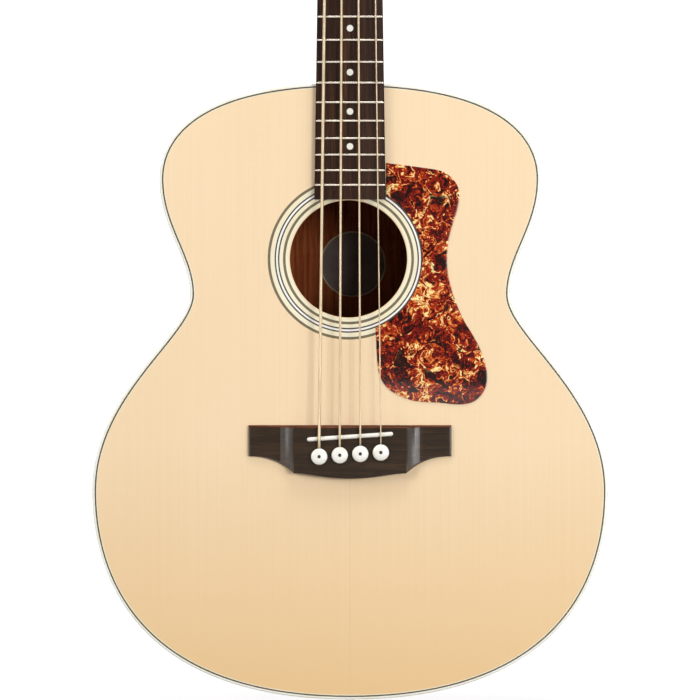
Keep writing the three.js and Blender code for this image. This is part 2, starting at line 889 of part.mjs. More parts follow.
function bridgePlan() {
  const half = bridgeWidth / 2;
  const blockHalf = bridgeBlockWidth / 2;
  const top = scaleEndZ + bridgeAboveScaleEnd;
  const wing = scaleEndZ - bridgeWingBottom;
  const cusp = scaleEndZ - bridgeCuspBottom;
  const centre = scaleEndZ - bridgeCentreBottom;
  const [tipHandle, cuspHandle] = bridgeWingHandleShares.map((share) => share * (half - blockHalf));
  const [sideHandle, middleHandle] = bridgeCentreHandleShares.map((share) => share * blockHalf);
  const midway = (wing + cusp) / 2;
  const shape = new THREE.Shape();
  shape.moveTo(-half, top);
  shape.lineTo(-half, wing);
  shape.bezierCurveTo(-half + tipHandle, wing, -blockHalf - cuspHandle, midway, -blockHalf, cusp);
  shape.bezierCurveTo(-sideHandle, cusp, -middleHandle, centre, 0, centre);
  shape.bezierCurveTo(middleHandle, centre, sideHandle, cusp, blockHalf, cusp);
  shape.bezierCurveTo(blockHalf + cuspHandle, midway, half - tipHandle, wing, half, wing);
  shape.lineTo(half, top);
  shape.closePath();
  return shape;
}

function bridgeFront() {
  const half = bridgeWidth / 2 + cutOverrun;
  const blockHalf = bridgeBlockWidth / 2;
  const foot = blockHalf + bridgeScoopWidth;
  const bend = blockHalf + bridgeScoopHandleShare * bridgeScoopWidth;
  const shape = new THREE.Shape();
  shape.moveTo(-half, 0);
  shape.lineTo(-half, bridgeWingThickness);
  shape.lineTo(-foot, bridgeWingThickness);
  shape.quadraticCurveTo(-bend, bridgeWingThickness, -blockHalf, bridgeHeight);
  shape.lineTo(blockHalf, bridgeHeight);
  shape.quadraticCurveTo(bend, bridgeWingThickness, foot, bridgeWingThickness);
  shape.lineTo(half, bridgeWingThickness);
  shape.lineTo(half, 0);
  shape.closePath();
  return shape;
}

function makeBridge() {
  const plan = slab(bridgePlan(), -bridgeHeight - cutOverrun, 0, smallSegments / 2);
  const low = scaleEndZ - bridgeCentreBottom - cutOverrun;
  const depth = bridgeAboveScaleEnd + bridgeCentreBottom + 2 * cutOverrun;
  const front = new THREE.ExtrudeGeometry(bridgeFront(), {
    depth, bevelEnabled: false, curveSegments: smallSegments / 2,
  });
  front.scale(1, -1, 1);
  front.translate(0, 0, low);
  return cut(
    overlapOf(plan, front),
    saddleBar(seatGap),
    ...pinCutters(-bridgeHeight - cutOverrun, cutOverrun, (place) => place.slotReach),
  );
}

// The saddle's section as shares of half its thickness, and falls below its peak in thicknesses
const saddleFallShares = [[-1, 0.42], [-0.5, 0.18], [0, 0], [0.5, 0.08], [1, 0.24]];
// The saddle thins towards its round ends: share of the half length, share of the thickness
const saddleEndShares = [
  [-1, 0.35], [-0.985, 0.8], [-0.96, 1], [-0.5, 1], [0, 1], [0.5, 1], [0.96, 1], [0.985, 0.8], [1, 0.35],
];

// grow is zero for the saddle itself, or the clearance of the slot that holds it
function saddleBar(grow) {
  const half = saddleLength / 2;
  const thick = saddleThickness / 2;
  const floor = -bridgeHeight + saddleDepthInBridge + grow;
  const rings = saddleEndShares.map(([lengthShare, thickShare]) => {
    const x = lengthShare * (half + grow);
    const z = scaleEndZ - saddleBelowScaleEnd + x * Math.tan(saddleSlope);
    const peak = boardTopY(x) - stringLiftAtSaddle + seatGap - (grow ? cutOverrun : 0);
    const reach = thick * thickShare + grow;
    const top = saddleFallShares.map(([zShare, fallShare]) => (
      new THREE.Vector3(x, peak + fallShare * saddleThickness, z + zShare * reach)));
    return [new THREE.Vector3(x, floor, z - reach), ...top, new THREE.Vector3(x, floor, z + reach)];
  });
  return skin(rings);
}

// Dome of a pin's head: share of its radius, share of its height
const pinDomeShares = [[1, 0], [1, 0.4], [0.75, 0.85], [0, 1]];

function makePin(place) {
  const under = bridgeHeight + pinCollarHeight;
  const profile = [
    [0, pinLength - under],
    [pinTipRadius, pinLength - under],
    [pinShankRadius, -bridgeHeight],
    [pinShankRadius, -under],
    ...pinDomeShares.map(([share, heightShare]) => (
      [share * pinHeadRadius, -under - heightShare * pinHeadHeight])),
  ];
  const geometry = turned(profile, smallSegments);
  geometry.translate(place.saddleX, 0, place.pinZ);
  return geometry;
}

// Neck: stations down its length, each a round-backed section with a flat top

const headOrigin = new THREE.Vector3(0, 0, nutThickness);

function inHead(geometry) {
  geometry.rotateX(-headTilt);
  return geometry.translate(headOrigin.x, headOrigin.y, headOrigin.z);
}

function headPoint(x, depth, height) {
  return new THREE.Vector3(x, depth, height)
    .applyAxisAngle(new THREE.Vector3(1, 0, 0), -headTilt)
    .add(headOrigin);
}

// How full the neck's back is: powers under 1 square an ellipse up
const neckWidthPower = 0.85;
const neckDepthPower = 0.9;

function neckSection(z, depth) {
  const half = boardHalfWidth(z);
  const points = [];
  for (let i = 0; i <= smallSegments; i++) {
    const angle = (Math.PI * i) / smallSegments;
    const wide = Math.sign(Math.cos(angle)) * Math.abs(Math.cos(angle)) ** neckWidthPower;
    points.push(new THREE.Vector3(half * wide, depth * Math.sin(angle) ** neckDepthPower, z));
  }
  return points;
}

const heelSweepShare = 0.2; // of the cap's length: how far the heel's curve leans up the neck

function makeNeckShaft() {
  const heelStart = bodyTopZ + heelLength;
  const capEdge = bodyTopZ + heelCapLength;
  const heel = new THREE.CubicBezierCurve(
    new THREE.Vector2(heelStart, neckDepthAtHeel),
    new THREE.Vector2((heelStart + 2 * capEdge) / 3, neckDepthAtHeel),
    new THREE.Vector2(capEdge + heelSweepShare * heelCapLength, heelDepth / 2),
    new THREE.Vector2(capEdge, heelRoundDepth),
  );
  const stations = [
    [nutThickness, neckDepthAtNut],
    [heelStart / 2, (neckDepthAtNut + neckDepthAtHeel) / 2],
  ];
  heel.getPoints(smallSegments).forEach((point) => stations.push([point.x, point.y]));
  stations.push([bodyTopZ - cutOverrun, heelRoundDepth]);
  return skin(stations.map(([z, depth]) => neckSection(z, depth)));
}

// Half outline of the headstock: share of half its width, share of its length
const headEdgeShares = [
  [0.8, 0.1],
  [0.88, 0.2],
  [0.915, 0.34],
  [0.92, 0.5],
  [0.935, 0.68],
  [0.965, 0.84],
  [1, 0.965],
];

function headShape(low) {
  const half = headWidth / 2;
  const start = boardHalfWidth(0) - seatGap;
  const edge = headEdgeShares.map(([xShare, zShare]) => (
    new THREE.Vector2(xShare * half, zShare * headLength)));
  const shape = new THREE.Shape();
  shape.moveTo(start, low);
  shape.splineThru(edge);
  shape.quadraticCurveTo(half / 2, headLength, 0, headLength);
  shape.quadraticCurveTo(-half / 2, headLength, -edge[edge.length - 1].x, edge[edge.length - 1].y);
  shape.splineThru([...edge].reverse().slice(1).map((point) => new THREE.Vector2(-point.x, point.y)));
  shape.lineTo(-start, low);
  shape.closePath();
  return shape;
}

const posts = [
  { side: -1, height: lowerPostHeight },
  { side: -1, height: upperPostHeight },
  { side: 1, height: upperPostHeight },
  { side: 1, height: lowerPostHeight },
];

function postHoles() {
  const back = headThickness + cutOverrun;
  const front = -veneerThickness - cutOverrun;
  return posts.map((post) => inHead(
    peg(bushingTubeRadius + seatGap, post.side * postX, post.height, front, back)));
}

function trussPocket() {
  const half = trussPocketWidth / 2;
  const low = nutThickness + seatGap;
  return block(-half, half, -boardThickness, trussChannelDepth, low, low + trussPocketLength);
}

const trussRodEndZ = bodyTopZ + trussRodEndAboveBody;

function makeNeck() {
  const head = inHead(slab(headShape(0), 0, headThickness, 2));
  const tenon = block(
    -tenonWidth / 2, tenonWidth / 2, tenonTop, tenonBottom,
    bodyTopZ - sideThickness - tenonLength + seatGap, bodyTopZ + cutOverrun,
  );
  const bodyRoom = slab(new THREE.Shape(bodyOutline(-seatGap)), -cutOverrun, depthAtTail + backArch);
  const channel = block(
    -trussChannelWidth / 2, trussChannelWidth / 2, -cutOverrun, trussChannelDepth,
    trussRodEndZ - seatGap, nutThickness + cutOverrun,
  );
  const belowCap = block(
    -headWidth, headWidth, heelDepth, heelRoundDepth + cutOverrun,
    bodyTopZ - heelLength, bodyTopZ + heelLength,
  );
  const shaft = cut(makeNeckShaft(), bodyRoom, belowCap);
  return cut(unite(shaft, head, tenon), channel, trussPocket(), ...postHoles(), heelScrewRoom());
}

function makeHeelCap() {
  const front = heelDepth + seatGap;
  const layer = block(
    -headWidth, headWidth, front, front + heelCapThickness,
    bodyTopZ - heelLength, bodyTopZ + heelLength,
  );
  const bodyRoom = slab(new THREE.Shape(bodyOutline(-seatGap)), -cutOverrun, depthAtTail + backArch);
  return cut(overlapOf(makeNeckShaft(), layer), bodyRoom, heelScrewRoom());
}

const heelButtonZ = bodyTopZ + heelCapLength / 2;

function heelScrewRoom() {
  const front = heelDepth - strapScrewLength;
  return peg(strapScrewRadius + seatGap, 0, heelButtonZ, front, heelRoundDepth + cutOverrun, smallSegments);
}

// A strap button stands on its screw, with its flat end at the far side from the screw's tip
function strapButton() {
  const flare = strapButtonLength / 4;
  return turned([
    [0, -strapScrewLength + seatGap],
    [strapScrewRadius, -strapScrewLength + seatGap],
    [strapScrewRadius, seatGap],
    [strapButtonRadius, seatGap],
    [strapButtonRadius, flare / 2],
    [strapButtonWaist, flare],
    [strapButtonWaist, strapButtonLength - 1.5 * flare],
    [strapButtonRadius, strapButtonLength - flare / 2],
    [strapButtonRadius, strapButtonLength],
    [0, strapButtonLength],
  ], smallSegments);
}

function makeTailButton() {
  const button = strapButton();
  button.rotateX(-Math.PI / 2);
  button.translate(0, strapButtonY, tailZ);
  return button;
}

function makeHeelButton() {
  const button = strapButton();
  button.translate(0, heelDepth + seatGap + heelCapThickness, heelButtonZ);
  return button;
}

// Truss rod in its channel, with the adjusting nut in the headstock's pocket

const trussAxisY = trussChannelDepth / 2;

function makeTrussRod() {
  const half = trussRodWidth / 2;
  const front = (trussChannelDepth - trussRodDepth) / 2;
  const end = nutThickness;
  const rod = block(-half, half, front, front + trussRodDepth, trussRodEndZ, end);
  const thread = new THREE.CylinderGeometry(
    trussThreadRadius, trussThreadRadius, trussThreadLength + cutOverrun, smallSegments);
  thread.rotateX(Math.PI / 2);
  thread.translate(0, trussAxisY, end + (trussThreadLength - cutOverrun) / 2);
  return unite(rod, thread);
}

function makeTrussNut() {
  const shape = new THREE.Shape();
  const hexagon = roundSection(trussNutRadius, 6);
  shape.setFromPoints(hexagon.map(([x, y]) => new THREE.Vector2(x, y)));
  shape.holes.push(circleHole(0, 0, trussThreadRadius + seatGap));
  const nut = new THREE.ExtrudeGeometry(shape, {
    depth: trussNutLength, bevelEnabled: false, curveSegments: smallSegments / 2,
  });
  nut.translate(0, trussAxisY, nutThickness + 2 * seatGap);
  return nut;
}

function makeVeneer() {
  const veneer = inHead(slab(headShape(seatGap), -veneerThickness, -seatGap, 2));
  return cut(veneer, trussPocket(), ...postHoles());
}

function makeTrussCover() {
  const half = coverWidth / 2;
  const shape = new THREE.Shape();
  shape.moveTo(-half, seatGap * 3);
  shape.lineTo(half, seatGap * 3);
  shape.bezierCurveTo(half, coverLength / 2, half / 3, coverLength / 2, half / 4, coverLength);
  shape.lineTo(-half / 4, coverLength);
  shape.bezierCurveTo(-half / 3, coverLength / 2, -half, coverLength / 2, -half, seatGap * 3);
  const back = -veneerThickness - seatGap;
  return inHead(slab(shape, back - coverThickness, back, smallSegments / 2));
}

// Fingerboard with its fret crowns, arched across

const boardShares = [-1, -0.5, 0, 0.5, 1];

function boardRing(z) {
  const half = boardHalfWidth(z);
  const top = boardShares.map((share) => new THREE.Vector3(share * half, boardTopY(share * half), z));
  return [new THREE.Vector3(-half, 0, z), ...top, new THREE.Vector3(half, 0, z)];
}

// Section of a fret crown: share of its width from the middle, share of its height
const crownShares = [[-0.5, -0.3], [-0.3, 0.85], [0.3, 0.85], [0.5, -0.3]];

function fretCrown(number) {
  const z = fretZ(number);
  return skin(boardShares.map((share) => {
    const x = share * (boardHalfWidth(z) - seatGap);
    return crownShares.map(([widthShare, heightShare]) => (
      new THREE.Vector3(x, boardTopY(x) - heightShare * fretHeight, z + widthShare * fretWidth)));
  }));
}

function makeFingerboard() {
  const frets = Array.from({ length: fretCount }, (_, i) => fretCrown(i + 1));
  return unite(skin([boardRing(-seatGap), boardRing(boardEndZ)]), ...frets);
}

// Strings: from the ball under the bridge plate, over saddle and nut, and round the post

const ballPointCount = 2; // the first points of a string's route lie on its ball
const nutPointCount = 6; // the last of these lies in the nut's slot

function stringRoute(i) {
  const place = strings[i];
  const post = posts[i];
  const ballEnd = soundboardThickness + bridgePlateThickness + seatGap;
  const points = [
    new THREE.Vector3(place.saddleX, ballEnd + ballLength, place.bendZ),
    new THREE.Vector3(place.saddleX, ballEnd, place.bendZ),
    new THREE.Vector3(place.saddleX, ballEnd - seatGap / 2, place.bendZ),
    new THREE.Vector3(place.saddleX, place.bendY, place.bendZ),
    new THREE.Vector3(place.saddleX, place.saddleY, place.saddleZ),
    new THREE.Vector3(place.nutX, place.nutY, 0),
  ];
  const coilRadius = postRadius + seatGap + place.radius;
  const centre = new THREE.Vector2(post.side * postX, post.height);
  const fromNut = new THREE.Vector2(place.nutX, -nutThickness);
  const toPost = centre.clone().sub(fromNut);
  const lean = Math.asin(coilRadius / toPost.length());
  const heading = toPost.angle() + post.side * lean; // past the post's inner side
  const startAngle = heading + post.side * Math.PI / 2;
  const lowest = veneerThickness + bushingFlangeHeight + 2 * seatGap + place.radius;
  const pitch = stringDiameters[i] + windingSpace;
  for (let step = 0; step <= windingTurns * windingSegments; step++) {
    const turn = step / windingSegments;
    const angle = startAngle - post.side * turn * 2 * Math.PI;
    const x = centre.x + coilRadius * Math.cos(angle);
    points.push(headPoint(x, -lowest - pitch * turn, centre.y + coilRadius * Math.sin(angle)));
  }
  const last = points[points.length - 1];
  const before = points[points.length - 2];
  points.push(last.clone().addScaledVector(last.clone().sub(before).normalize(), stringDiameters[i]));
  return points;
}

// Least gap between turns of one string, measured on the points of its winding
function leastGap(points, diameter) {
  let least = Infinity;
  points.forEach((point, i) => {
    points.slice(i + windingSegments / 2).forEach((other) => {
      least = Math.min(least, point.distanceTo(other) - diameter);
    });
  });
  return least;
}

function makeString(i) {
  const points = stringRoute(i);
  const { radius } = strings[i];
  const gap = leastGap(points.slice(nutPointCount), stringDiameters[i]);
  console.log(`string ${stringNames[i]} winding: least gap ${gap.toFixed(2)}`);
  const sectionAt = (step) => roundSection(step < ballPointCount ? ballRadius : radius, 6);
  return sweep(points, sectionAt, new THREE.Vector3(1, 0, 0));
}

// Nut with a slot under each string

function makeNut() {
  const half = boardHalfWidth(0) - seatGap;
  const top = -boardThickness - stringLiftAtNut - nutTopShare * Math.max(...stringDiameters);
  const shape = new THREE.Shape([
    new THREE.Vector2(0, 0),
    new THREE.Vector2(top, 0),
    new THREE.Vector2(top, nutThickness / 2),
    new THREE.Vector2(top + nutThickness / 4, nutThickness),
    new THREE.Vector2(0, nutThickness),
  ]);
  const slots = strings.map((place, i) => {
    const [atNut, afterNut] = stringRoute(i).slice(nutPointCount - 1);
    const onward = afterNut.clone().sub(atNut).normalize();
    const room = place.radius + seatGap;
    const section = [[-room, -room], [room, -room], [room, boardThickness], [-room, boardThickness]];
    const points = [
      new THREE.Vector3(atNut.x, atNut.y, -cutOverrun),
      atNut,
      atNut.clone().addScaledVector(onward, nutThickness + cutOverrun),
    ];
    return sweep(points, () => section, new THREE.Vector3(0, -1, 0));
  });
  return cut(lengthwise(shape, 2 * half), ...slots);
}

// Tuners: local x runs out along the key, y is depth behind the face, z is up the headstock

const gearPitchRadius = (gearTeeth * wormPitch) / (2 * Math.PI);
const wormDrop = gearPitchRadius + wormPitchRadius;
const plateBack = headThickness + seatGap + tunerPlateThickness;
const gearMiddle = plateBack + seatGap + wormPitchRadius + toothAddendum;
const gearFront = gearMiddle - gearThickness / 2;
const wormLead = Math.atan(wormPitch / (2 * Math.PI * wormPitchRadius));
const earInner = wormLength / 2 + seatGap;
const earOuter = earInner + earThickness;

// Half width of a tooth at a height above the pitch line
function toothHalfWidth(above) {
  return toothWidth / 2 - above * flankSlopeShare;
}

// Teeth slant by the worm's lead, so the disc turns slightly from front to back
function makeGear(side) {
  const ring = (y, shift) => {
    const points = [];
    for (let tooth = 0; tooth < gearTeeth; tooth++) {
      const middle = -Math.PI / 2 + (tooth * 2 * Math.PI) / gearTeeth + shift;
      const corners = [[-toothDedendum, -1], [toothAddendum, -1], [toothAddendum, 1], [-toothDedendum, 1]];
      corners.forEach(([above, hand]) => {
        const radius = gearPitchRadius + above;
        const angle = middle + (hand * toothHalfWidth(above)) / radius;
        points.push(new THREE.Vector3(radius * Math.cos(angle), y, radius * Math.sin(angle)));
      });
    }
    return points;
  };
  const slant = (side * Math.tan(wormLead) * gearThickness) / 2 / gearPitchRadius;
  return skin([ring(gearFront, slant), ring(gearFront + gearThickness, -slant)]);
}

// The post's foot behind the gear, as shares of its radius
const postFootShares = [0.7, 0.8];

function makePost(side) {
  const front = -veneerThickness - postRise;
  const flank = front + postTopHeight;
  const screwHead = gearFront + gearThickness + 2 * toothAddendum;
  const post = turned([
    [0, screwHead],
    [postRadius * postFootShares[0], screwHead],
    [postRadius * postFootShares[1], gearFront + gearThickness - seatGap],
    [hubRadius, gearMiddle],
    [hubRadius, plateBack + seatGap],
    [postRadius, plateBack + seatGap],
    [postRadius, flank],
    [postTopRadius, flank - seatGap],
    [postTopRadius, front + seatGap],
    [postTopRadius - 2 * seatGap, front],
    [0, front],
  ], smallSegments);
  const slot = block(
    -postSlotWidth / 2, postSlotWidth / 2, front - cutOverrun, flank - 2 * seatGap,
    -postTopRadius - cutOverrun, postTopRadius + cutOverrun,
  );
  return cut(unite(post, makeGear(side)), slot);
}

// Thread of the worm: a ridge wound round the key's shaft
function makeWorm() {
  const turns = wormLength / wormPitch - 1;
  const points = [];
  for (let step = 0; step <= turns * wormSegments; step++) {
    const turn = step / wormSegments - turns / 2;
    const angle = turn * 2 * Math.PI - Math.PI / 2;
    points.push([turn * wormPitch, angle]);
  }
  const rings = points.map(([x, angle]) => (
    [[-toothDedendum - seatGap, 1], [toothAddendum, 1], [toothAddendum, -1], [-toothDedendum - seatGap, -1]]
      .map(([above, hand]) => {
        const radius = wormPitchRadius + above;
        const shift = hand * toothHalfWidth(above);
        return new THREE.Vector3(x + shift, radius * Math.cos(angle), radius * Math.sin(angle));
      })));
  return skin(rings);
}

function makeKey(side) {
  const headEdge = headWidth / 2 - postX;
  const buttonStart = headEdge + buttonClearOfHead;
  const shaftStart = -earOuter - seatGap;
  const shaftEnd = buttonStart + buttonLength / 2;
  const shaft = new THREE.CylinderGeometry(
    keyShaftRadius, keyShaftRadius, shaftEnd - shaftStart, smallSegments);
  shaft.rotateZ(Math.PI / 2);
  shaft.translate((shaftStart + shaftEnd) / 2, 0, 0);
  const shape = new THREE.Shape();
  shape.absellipse(
    buttonStart + buttonLength / 2, 0, buttonLength / 2 - buttonBevel, buttonWidth / 2 - buttonBevel,
    0, 2 * Math.PI, false, 0);
  const button = new THREE.ExtrudeGeometry(shape, {
    depth: buttonThickness - 2 * buttonBevel, bevelEnabled: true, bevelThickness: buttonBevel,
    bevelSize: buttonBevel, bevelSegments: 2, curveSegments: smallSegments * 0.75,
  });
  button.translate(0, 0, buttonBevel - buttonThickness / 2);
  button.rotateX(Math.PI / 2);
  const key = unite(shaft, makeWorm(), button);
  key.scale(side, 1, 1);
  return faceOut(key);
}

function makeTunerBase(side) {
  const half = earOuter + seatGap;
  const low = -wormDrop - keyShaftRadius - tunerPlateMargin;
  const high = gearPitchRadius + tunerPlateMargin;
  const shape = new THREE.Shape();
  shape.moveTo(-half, low);
  shape.lineTo(half, low);
  shape.lineTo(half, high / 2);
  shape.quadraticCurveTo(half, high, 0, high);
  shape.quadraticCurveTo(-half, high, -half, high / 2);
  shape.closePath();
  shape.holes.push(circleHole(0, 0, postRadius + seatGap));
  const plate = slab(shape, headThickness + seatGap, plateBack, smallSegments / 2);
  const earHalf = keyShaftRadius + seatGap + earMargin;
  const ears = [-1, 1].map((hand) => block(
    hand > 0 ? earInner : -earOuter, hand > 0 ? earOuter : -earInner,
    plateBack - seatGap, gearMiddle + earHalf, -wormDrop - earHalf, -wormDrop + earHalf,
  ));
  const bore = new THREE.CylinderGeometry(
    keyShaftRadius + seatGap, keyShaftRadius + seatGap, 2 * (half + cutOverrun), smallSegments);
  bore.rotateZ(Math.PI / 2);
  bore.translate(0, gearMiddle, -wormDrop);
  const base = cut(unite(plate, ...ears), bore);
  base.scale(side, 1, 1);
  return faceOut(base);
}

function makeBushing() {
  const face = -veneerThickness - seatGap;
  return turned([
    [postRadius + seatGap, face - bushingFlangeHeight],
    [bushingFlangeRadius - seatGap, face - bushingFlangeHeight],
    [bushingFlangeRadius, face - bushingFlangeHeight / 2],
    [bushingFlangeRadius, face],
    [bushingTubeRadius, face],
    [bushingTubeRadius, face + bushingTubeLength],
    [postRadius + seatGap, face + bushingTubeLength],
    [postRadius + seatGap, face - bushingFlangeHeight],
  ], smallSegments);
}

function addTuner(i) {
  const post = posts[i];
  const name = stringNames[i];
  const place = new THREE.Group();
  place.position.copy(headOrigin);
  place.rotation.x = -headTilt;
  const tuner = new THREE.Group();
  tuner.position.set(post.side * postX, 0, post.height);
  place.add(tuner);
  guitar.add(place);
  add(`tuner_base_${name}`, makeTunerBase(post.side), materials.nickel, tuner);
  add(`tuner_bushing_${name}`, makeBushing(), materials.nickel, tuner);
  add(`tuner_post_${name}`, makePost(post.side), materials.nickel, tuner);
  const key = add(`tuner_key_${name}`, makeKey(post.side), materials.nickel, tuner);
  key.position.set(0, gearMiddle, -wormDrop);
}

// Assembly

add('soundboard', makeSoundboard(), materials.spruce);
const rosette = rosetteEdges();
add('rosette_inner_ring', makeRosetteRing(rosette.inner, rosetteInnerWidth), materials.black);
add('rosette_field', makeRosetteRing(rosette.field, rosetteFieldWidth), materials.ivory);
add('rosette_outer_ring', makeRosetteRing(rosette.outer, rosetteOuterWidth), materials.black);
add('pickguard', makePickguard(), materials.tortoise);

add('back', makeBack(), materials.mahogany);
add('side_bass', makeSide(bassHalf), materials.mahogany);
add('side_treble', makeSide(halfOutline), materials.mahogany);
add('lining_top_bass', makeTopLining(bassHalf), materials.brace);
add('lining_top_treble', makeTopLining(halfOutline), materials.brace);
add('lining_back_bass', makeBackLining(bassHalf), materials.brace);
add('lining_back_treble', makeBackLining(halfOutline), materials.brace);
add('neck_block', makeNeckBlock(), materials.mahogany);
add('tail_block', makeTailBlock(), materials.mahogany);
add('top_binding', makeTopBinding(), materials.ivory);
add('top_purfling', makePurfling(), materials.black);
add('back_binding', makeBackBinding(), materials.ivory);

add('cross_brace_treble', makeCrossBrace(1), materials.brace);
add('cross_brace_bass', makeCrossBrace(-1), materials.brace);
add('transverse_brace', makeTransverseBrace(), materials.brace);
add('tone_bar_upper', makeToneBar(0), materials.brace);
add('tone_bar_lower', makeToneBar(1), materials.brace);
add('bridge_plate', makeBridgePlate(), materials.maple);
add('paper_label', makeLabel(), materials.paper);

add('bridge', makeBridge(), materials.rosewood);
add('saddle', saddleBar(0), materials.bone);
strings.forEach((place, i) => add(`bridge_pin_${stringNames[i]}`, makePin(place), materials.bone));

add('neck', makeNeck(), materials.mahogany);
add('heel_cap', makeHeelCap(), materials.ivory);
add('heel_strap_button', makeHeelButton(), materials.nickel);
add('tail_strap_button', makeTailButton(), materials.nickel);
add('truss_rod', makeTrussRod(), materials.steel);
add('truss_rod_nut', makeTrussNut(), materials.brass);
add('headstock_veneer', makeVeneer(), materials.rosewood);
add('truss_rod_cover', makeTrussCover(), materials.black);
add('nut', makeNut(), materials.bone);
add('fingerboard', makeFingerboard(), materials.rosewood);

strings.forEach((_, i) => add(`string_${stringNames[i]}`, makeString(i), materials.bronze));
strings.forEach((_, i) => addTuner(i));

export default guitar;
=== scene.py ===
import math

import bmesh
import bpy
import numpy as np
from mathutils import Matrix, Vector


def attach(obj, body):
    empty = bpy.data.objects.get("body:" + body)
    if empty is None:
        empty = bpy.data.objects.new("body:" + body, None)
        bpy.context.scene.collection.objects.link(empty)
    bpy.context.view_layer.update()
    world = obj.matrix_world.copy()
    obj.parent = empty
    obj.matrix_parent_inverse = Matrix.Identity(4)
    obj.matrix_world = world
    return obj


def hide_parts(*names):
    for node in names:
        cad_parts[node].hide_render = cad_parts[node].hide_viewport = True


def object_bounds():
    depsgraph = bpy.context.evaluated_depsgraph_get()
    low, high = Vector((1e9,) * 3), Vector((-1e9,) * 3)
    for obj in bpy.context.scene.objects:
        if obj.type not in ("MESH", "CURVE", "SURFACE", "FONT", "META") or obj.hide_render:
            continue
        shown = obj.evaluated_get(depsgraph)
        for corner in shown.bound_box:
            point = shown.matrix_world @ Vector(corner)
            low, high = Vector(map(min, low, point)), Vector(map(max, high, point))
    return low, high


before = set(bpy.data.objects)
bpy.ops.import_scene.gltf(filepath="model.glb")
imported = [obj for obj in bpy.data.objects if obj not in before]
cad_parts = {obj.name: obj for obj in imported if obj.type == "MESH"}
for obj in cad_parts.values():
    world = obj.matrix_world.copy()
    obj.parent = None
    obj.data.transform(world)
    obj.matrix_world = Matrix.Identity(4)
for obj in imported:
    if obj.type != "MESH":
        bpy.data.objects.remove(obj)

# Acoustic bass guitar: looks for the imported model. Metres, +Z up the neck, +Y to the back, +X to the treble.
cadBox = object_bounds()
mm = 0.001
stringNames = ["e", "a", "d", "g"]


def inMetres(sizes):  # a dictionary written in millimetres, whose lists become arrays
    return {key: np.multiply(value, mm) for key, value in sizes.items()}


# Meshes

def addObject(name, data):
    made = bpy.data.objects.new(name, data)
    bpy.context.scene.collection.objects.link(made)
    return made


def shade(mesh, sharpAngle):  # smooth, but sharp where faces meet at more than the angle
    mesh.polygons.foreach_set("use_smooth", np.ones(len(mesh.polygons), bool))
    mesh.set_sharp_from_angle(angle=math.radians(sharpAngle))
    mesh.update()


def gridFaces(rows, columns):  # quads between neighbouring points of a grid whose rows close on themselves
    row = np.arange(rows - 1)[:, None] * columns
    here = np.arange(columns)[None, :]
    after = (here + 1) % columns
    corners = [row + here, row + columns + here, row + columns + after, row + after]
    return np.stack(corners, axis=-1).reshape(-1, 4).tolist()


def meshObject(name, points, faces, merge=True, sharpAngle=32):
    mesh = bpy.data.meshes.new(name)
    mesh.from_pydata(np.reshape(points, (-1, 3)).tolist(), [], faces)
    work = bmesh.new()
    work.from_mesh(mesh)
    if merge:
        bmesh.ops.remove_doubles(work, verts=work.verts, dist=1e-7)
    bmesh.ops.recalc_face_normals(work, faces=work.faces)
    work.to_mesh(mesh)
    work.free()
    shade(mesh, sharpAngle)
    return addObject(name, mesh)


def loft(name, rings, loop=False, merge=True, sharpAngle=32):
    # Rings of points joined in order, then closed into a loop or capped at both ends.
    count, around = np.shape(rings)[:2]
    first = np.arange(around)
    last = first + (count - 1) * around
    faces = gridFaces(count, around)
    if loop:
        faces += np.stack([last, first, np.roll(first, -1), np.roll(last, -1)], axis=-1).tolist()
    else:
        faces += [first.tolist(), last.tolist()]
    return meshObject(name, rings, faces, merge, sharpAngle)


def carve(piece, cutters, sharpAngle=32):
    # Takes the cutters away from a piece for good, then deletes them.
    for cutter in cutters:
        change = piece.modifiers.new("carve", "BOOLEAN")
        change.operation = "DIFFERENCE"
        change.solver = "MANIFOLD"
        change.object = cutter
    bpy.context.view_layer.update()
    graph = bpy.context.evaluated_depsgraph_get()
    done = bpy.data.meshes.new_from_object(piece.evaluated_get(graph))
    piece.modifiers.clear()
    piece.data = done
    shade(done, sharpAngle)
    for cutter in cutters:
        bpy.data.objects.remove(cutter, do_unlink=True)
    return piece


def joinPieces(name, pieces, sharpAngle=32):  # several closed meshes as one object
    work = bmesh.new()
    for piece in pieces:
        work.from_mesh(piece.data)
        bpy.data.objects.remove(piece, do_unlink=True)
    mesh = bpy.data.meshes.new(name)
    work.to_mesh(mesh)
    work.free()
    shade(mesh, sharpAngle)
    return addObject(name, mesh)


def dress(piece, finish, node, rides="guitar"):
    # Gives a piece its finish and the body that it rides on, and hides the CAD node that it stands for.
    piece.data.materials.clear()
    piece.data.materials.append(finishes[finish])
    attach(piece, rides)
    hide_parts(node)
    return piece


def faceFinish(piece, finish, way, least):
    # Gives another finish to the faces whose normal reaches far enough along one direction.
    faces = piece.data.polygons
    normals = np.empty(len(faces) * 3, np.float32)
    index = np.empty(len(faces), np.int32)
    faces.foreach_get("normal", normals)
    faces.foreach_get("material_index", index)
    index[normals.reshape(-1, 3) @ way > least] = len(piece.data.materials)
    faces.foreach_set("material_index", index)
    piece.data.materials.append(finishes[finish])


# Curves and sections

def gridOf(x, y, z):  # three arrays of places, spread over one grid of points
    return np.stack(np.broadcast_arrays(x, y, z), axis=-1)


def atDepth(outline, depth):  # an outline of x and z, set at one depth or at a depth for each point
    return gridOf(outline[:, 0], depth, outline[:, 1])


def unit(vectors):  # each vector over its own length
    return vectors / np.maximum(np.linalg.norm(vectors, axis=-1, keepdims=True), 1e-12)


def distanceAlong(path):  # the sum of the steps up to each point
    return np.append(0, np.cumsum(np.linalg.norm(np.diff(path, axis=0), axis=1)))


